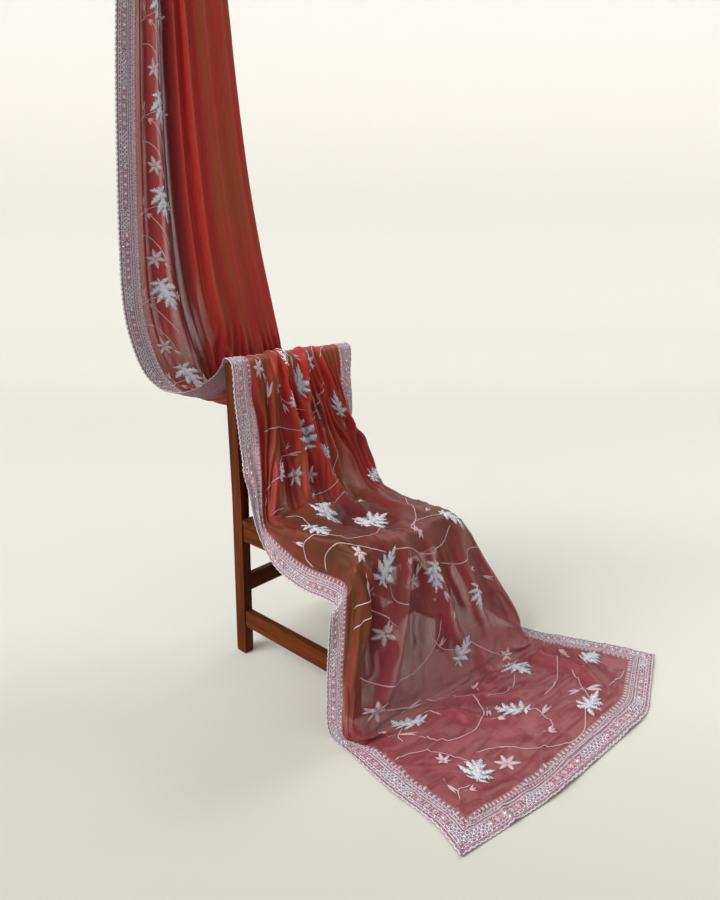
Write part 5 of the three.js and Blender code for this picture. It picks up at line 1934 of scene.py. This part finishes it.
@dataclass
class Studio:
    """The pale floor that runs up into a backdrop, the soft lights and the camera."""

    seat_centre: Spot
    eye: Point = (-1.472, -1.385, 1.27)
    heading: Spot = (0.747, 0.665)
    dip: float = 10.0
    lens: float = 26.0
    lift: float = 66.4 / 900.0
    film: float = 36.0
    farthest: float = 60.0
    front: float = 4.5
    reach: float = 4.6
    bend: float = 2.0
    height: float = 5.5
    half_width: float = 9.0
    rows: int = 90
    white: Colour = (1.0, 0.985, 0.96)
    room: Colour = (1.0, 0.985, 0.965)
    room_light: float = 0.47
    tones: tuple[tuple[float, Colour], ...] = (
        (3.6, (0.58, 0.58, 0.52)), (4.3, (0.7, 0.7, 0.65)), (6.0, (0.74, 0.74, 0.7)),
        (10.5, (0.73, 0.72, 0.69)), (11.8, (0.83, 0.82, 0.79)),
    )
    # Painted light: the upper backdrop glows by emission, with no lamp there.
    glows: tuple[tuple[float, Colour], ...] = (
        (11.6, (0.0, 0.0, 0.0)), (13.6, (0.17, 0.16, 0.14)), (14.6, (0.2, 0.2, 0.2)),
    )

    @property
    def length(self) -> float:
        """The sheet's length from its front edge to its top."""
        return self.front + self.reach + self.bend * math.pi / 2 + self.height

    def build(self) -> None:
        """Sets the stage."""
        self.sweep()
        self.lights()
        self.camera()

    def towards(self, ahead: float, right: float, up: float) -> Vector:
        """A point of the studio.

        Args:
            ahead: Distance from the seat, away from the camera.
            right: Distance to the camera's right.
            up: Height.

        Returns:
            The point in the row's frame.
        """
        forward = Vector((*self.heading, 0.0)).normalized()
        side = Vector((forward.y, -forward.x, 0.0))
        return Vector((*self.seat_centre, up)) + forward * ahead + side * right

    def sweep(self) -> None:
        """Builds the floor and backdrop in one sheet with its pale finish."""
        bm = bmesh.new()
        bmesh.ops.create_grid(bm, x_segments=2, y_segments=self.rows, size=0.5)
        mark = bm.verts.layers.float.new("run")
        flat, turn = self.reach + self.front, self.bend * math.pi / 2
        for vert in bm.verts:
            run = (vert.co.y + 0.5) * self.length
            vert[mark] = run
            right = vert.co.x * 2 * self.half_width
            angle = min(max((run - flat) / self.bend, 0.0), math.pi / 2)
            ahead = min(run, flat) - self.front + self.bend * math.sin(angle)
            up = self.bend * (1 - math.cos(angle)) + max(run - flat - turn, 0.0)
            vert.co = self.towards(ahead, right, up)
        mesh = bpy.data.meshes.new("studio_floor")
        bm.to_mesh(mesh)
        bm.free()
        mesh.shade_smooth()
        mesh.materials.append(self.paper())
        sheet = bpy.data.objects.new("studio_floor", mesh)
        bpy.context.scene.collection.objects.link(sheet)

    def paper(self) -> Material:
        """The pale paper, whose tone falls off softly towards the front, with painted light glowing
        from its upper part.
        """
        values = {"Roughness": 0.9, "Specular IOR Level": 0.1, "Emission Strength": 1.0}
        graph, material, shader = started("pale studio paper", values)
        share = graph.math("DIVIDE", graph.layer("run"), self.length)
        for socket, table in (("Base Color", self.tones), ("Emission Color", self.glows)):
            ramp = graph.node("ValToRGB", {"Fac": share})
            stops = ramp.color_ramp.elements
            while len(stops) < len(table):
                stops.new(0.5)
            for stop, (place, colour) in zip(stops, table):
                stop.position, stop.color = place / self.length, (*colour, 1.0)
            graph.tree.links.new(ramp.outputs["Color"], shader.inputs[socket])
        return material

    def sun(self, name: str, place: Vector, strength: float, softness: float) -> None:
        """Adds a very soft, even light.

        Args:
            name: Its name.
            place: Where it shines from, towards the seat.
            strength: Its strength.
            softness: Its apparent width in degrees.
        """
        light = bpy.data.lights.new(name, "SUN")
        light.energy, light.angle, light.color = strength, math.radians(softness), self.white
        lamp = bpy.data.objects.new(name, light)
        lamp.location = place
        target = Vector((*self.seat_centre, 0.5))
        lamp.rotation_euler = (target - place).to_track_quat("-Z", "Y").to_euler()
        bpy.context.scene.collection.objects.link(lamp)

    def lights(self) -> None:
        """Adds the soft lights and the pale room."""
        self.sun("key", self.towards(-1.7, -3.2, 2.9), strength=2.95, softness=44.0)
        self.sun("rim", self.towards(2.4, 2.4, 3.0), strength=1.5, softness=34.0)
        world = bpy.data.worlds.new("pale room")
        world.use_nodes = True
        inputs = world.node_tree.nodes["Background"].inputs
        inputs["Color"].default_value = (*self.room, 1.0)
        inputs["Strength"].default_value = self.room_light
        bpy.context.scene.world = world

    def camera(self) -> None:
        """Adds the camera at the photograph's place and angle."""
        data = bpy.data.cameras.new("camera")
        data.lens, data.sensor_width, data.sensor_fit = self.lens, self.film, "AUTO"
        data.shift_y = -self.lift
        data.clip_end = self.farthest
        camera = bpy.data.objects.new("camera", data)
        shift = Vector((*self.seat_centre, 0.0)) - Vector((0.0, SEAT_MIDDLE, 0.0))
        camera.location = Vector(self.eye) + shift
        dip = math.radians(self.dip)
        level = Vector((*self.heading, 0.0)).normalized()
        forward = level * math.cos(dip) - Vector((0, 0, math.sin(dip)))
        camera.rotation_euler = forward.to_track_quat("-Z", "Y").to_euler()
        bpy.context.scene.collection.objects.link(camera)
        bpy.context.scene.camera = camera


@dataclass
class Saree(Sewn):
    """The saree: its organza, its border and all its embroidery, laid on one drape."""

    def build(self) -> None:
        """Builds each stretch and logs its pieces' faces."""
        for stretch in STRETCHES:
            sewn = (self.drape, self.threads)
            organza = OrganzaField(*sewn, stretch).build()
            is_last = stretch is STRETCHES[-1]
            sides = (Edge.LEFT, Edge.RIGHT)
            strips = [BorderStrip(*sewn).side(stretch, edge) for edge in sides]
            end = CLOTH_LENGTH if is_last else stretch.end
            runs = [BorderRun(edge, stretch.start, end) for edge in sides]
            if is_last:
                strips.append(BorderStrip(*sewn).across_end())
                runs.append(BorderRun(Edge.END, 0.0, CLOTH_WIDTH))
            work = BorderWork(*sewn, stretch.name, tuple(runs)).build()
            pieces = [organza, *strips, *work, *FieldWork(*sewn, stretch).build()]
            self.declare(stretch, pieces)
            for piece in pieces:
                LOG.info("%s: %d faces", piece.name, len(piece.data.polygons))

    def declare(self, stretch: Stretch, pieces: list[Piece]) -> None:
        """Takes a stretch of the cloth and what is sewn to it, and does nothing with them.

        Args:
            stretch: The stretch.
            pieces: Its field, and then its borders and embroidery.
        """
        list(stretch.rests_on)
        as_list(pieces[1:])


def main() -> None:
    """Builds the dressed chair and its studio, and reports each piece."""
    logging.basicConfig(level=logging.INFO, format="%(name)s: %(message)s")
    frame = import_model()
    low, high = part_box("seat_board")
    centre = ((low[0] + high[0]) / 2, (low[1] + high[1]) / 2)
    studio = Studio(centre)
    studio.build()
    effects = Effects()
    for name in Chair().build(frame["nodes"], effects):
        LOG.info("%s: wood", name)
    threads = Threads(
        organza=OrganzaFinish().build(effects),
        band=BandFinish().build(effects),
        silver=ThreadFinish(
            "silver thread and beads", light=(0.98, 0.98, 1.0), deep=(0.55, 0.55, 0.65),
            roughness=0.34, metallic=0.0, beads=330.0, relief=0.9).build(effects),
        pink=ThreadFinish(
            "pale pink satin thread", light=(0.9, 0.74, 0.78), deep=(0.62, 0.42, 0.46),
            roughness=0.52, metallic=0.06, beads=520.0, relief=0.7).build(effects),
        sequin=ThreadFinish(
            "silver sequins", light=(1.0, 1.0, 1.0), deep=(0.86, 0.86, 0.9),
            roughness=0.2, metallic=0.95, beads=300.0, relief=0.15).build(effects),
    )
    Saree(Drape((centre[0], centre[1] - SEAT_MIDDLE)), threads).build()
    scene = bpy.context.scene
    scene.view_settings.view_transform = "Standard"
    scene.cycles.transparent_max_bounces = 32


if __name__ == "__main__":
    main()
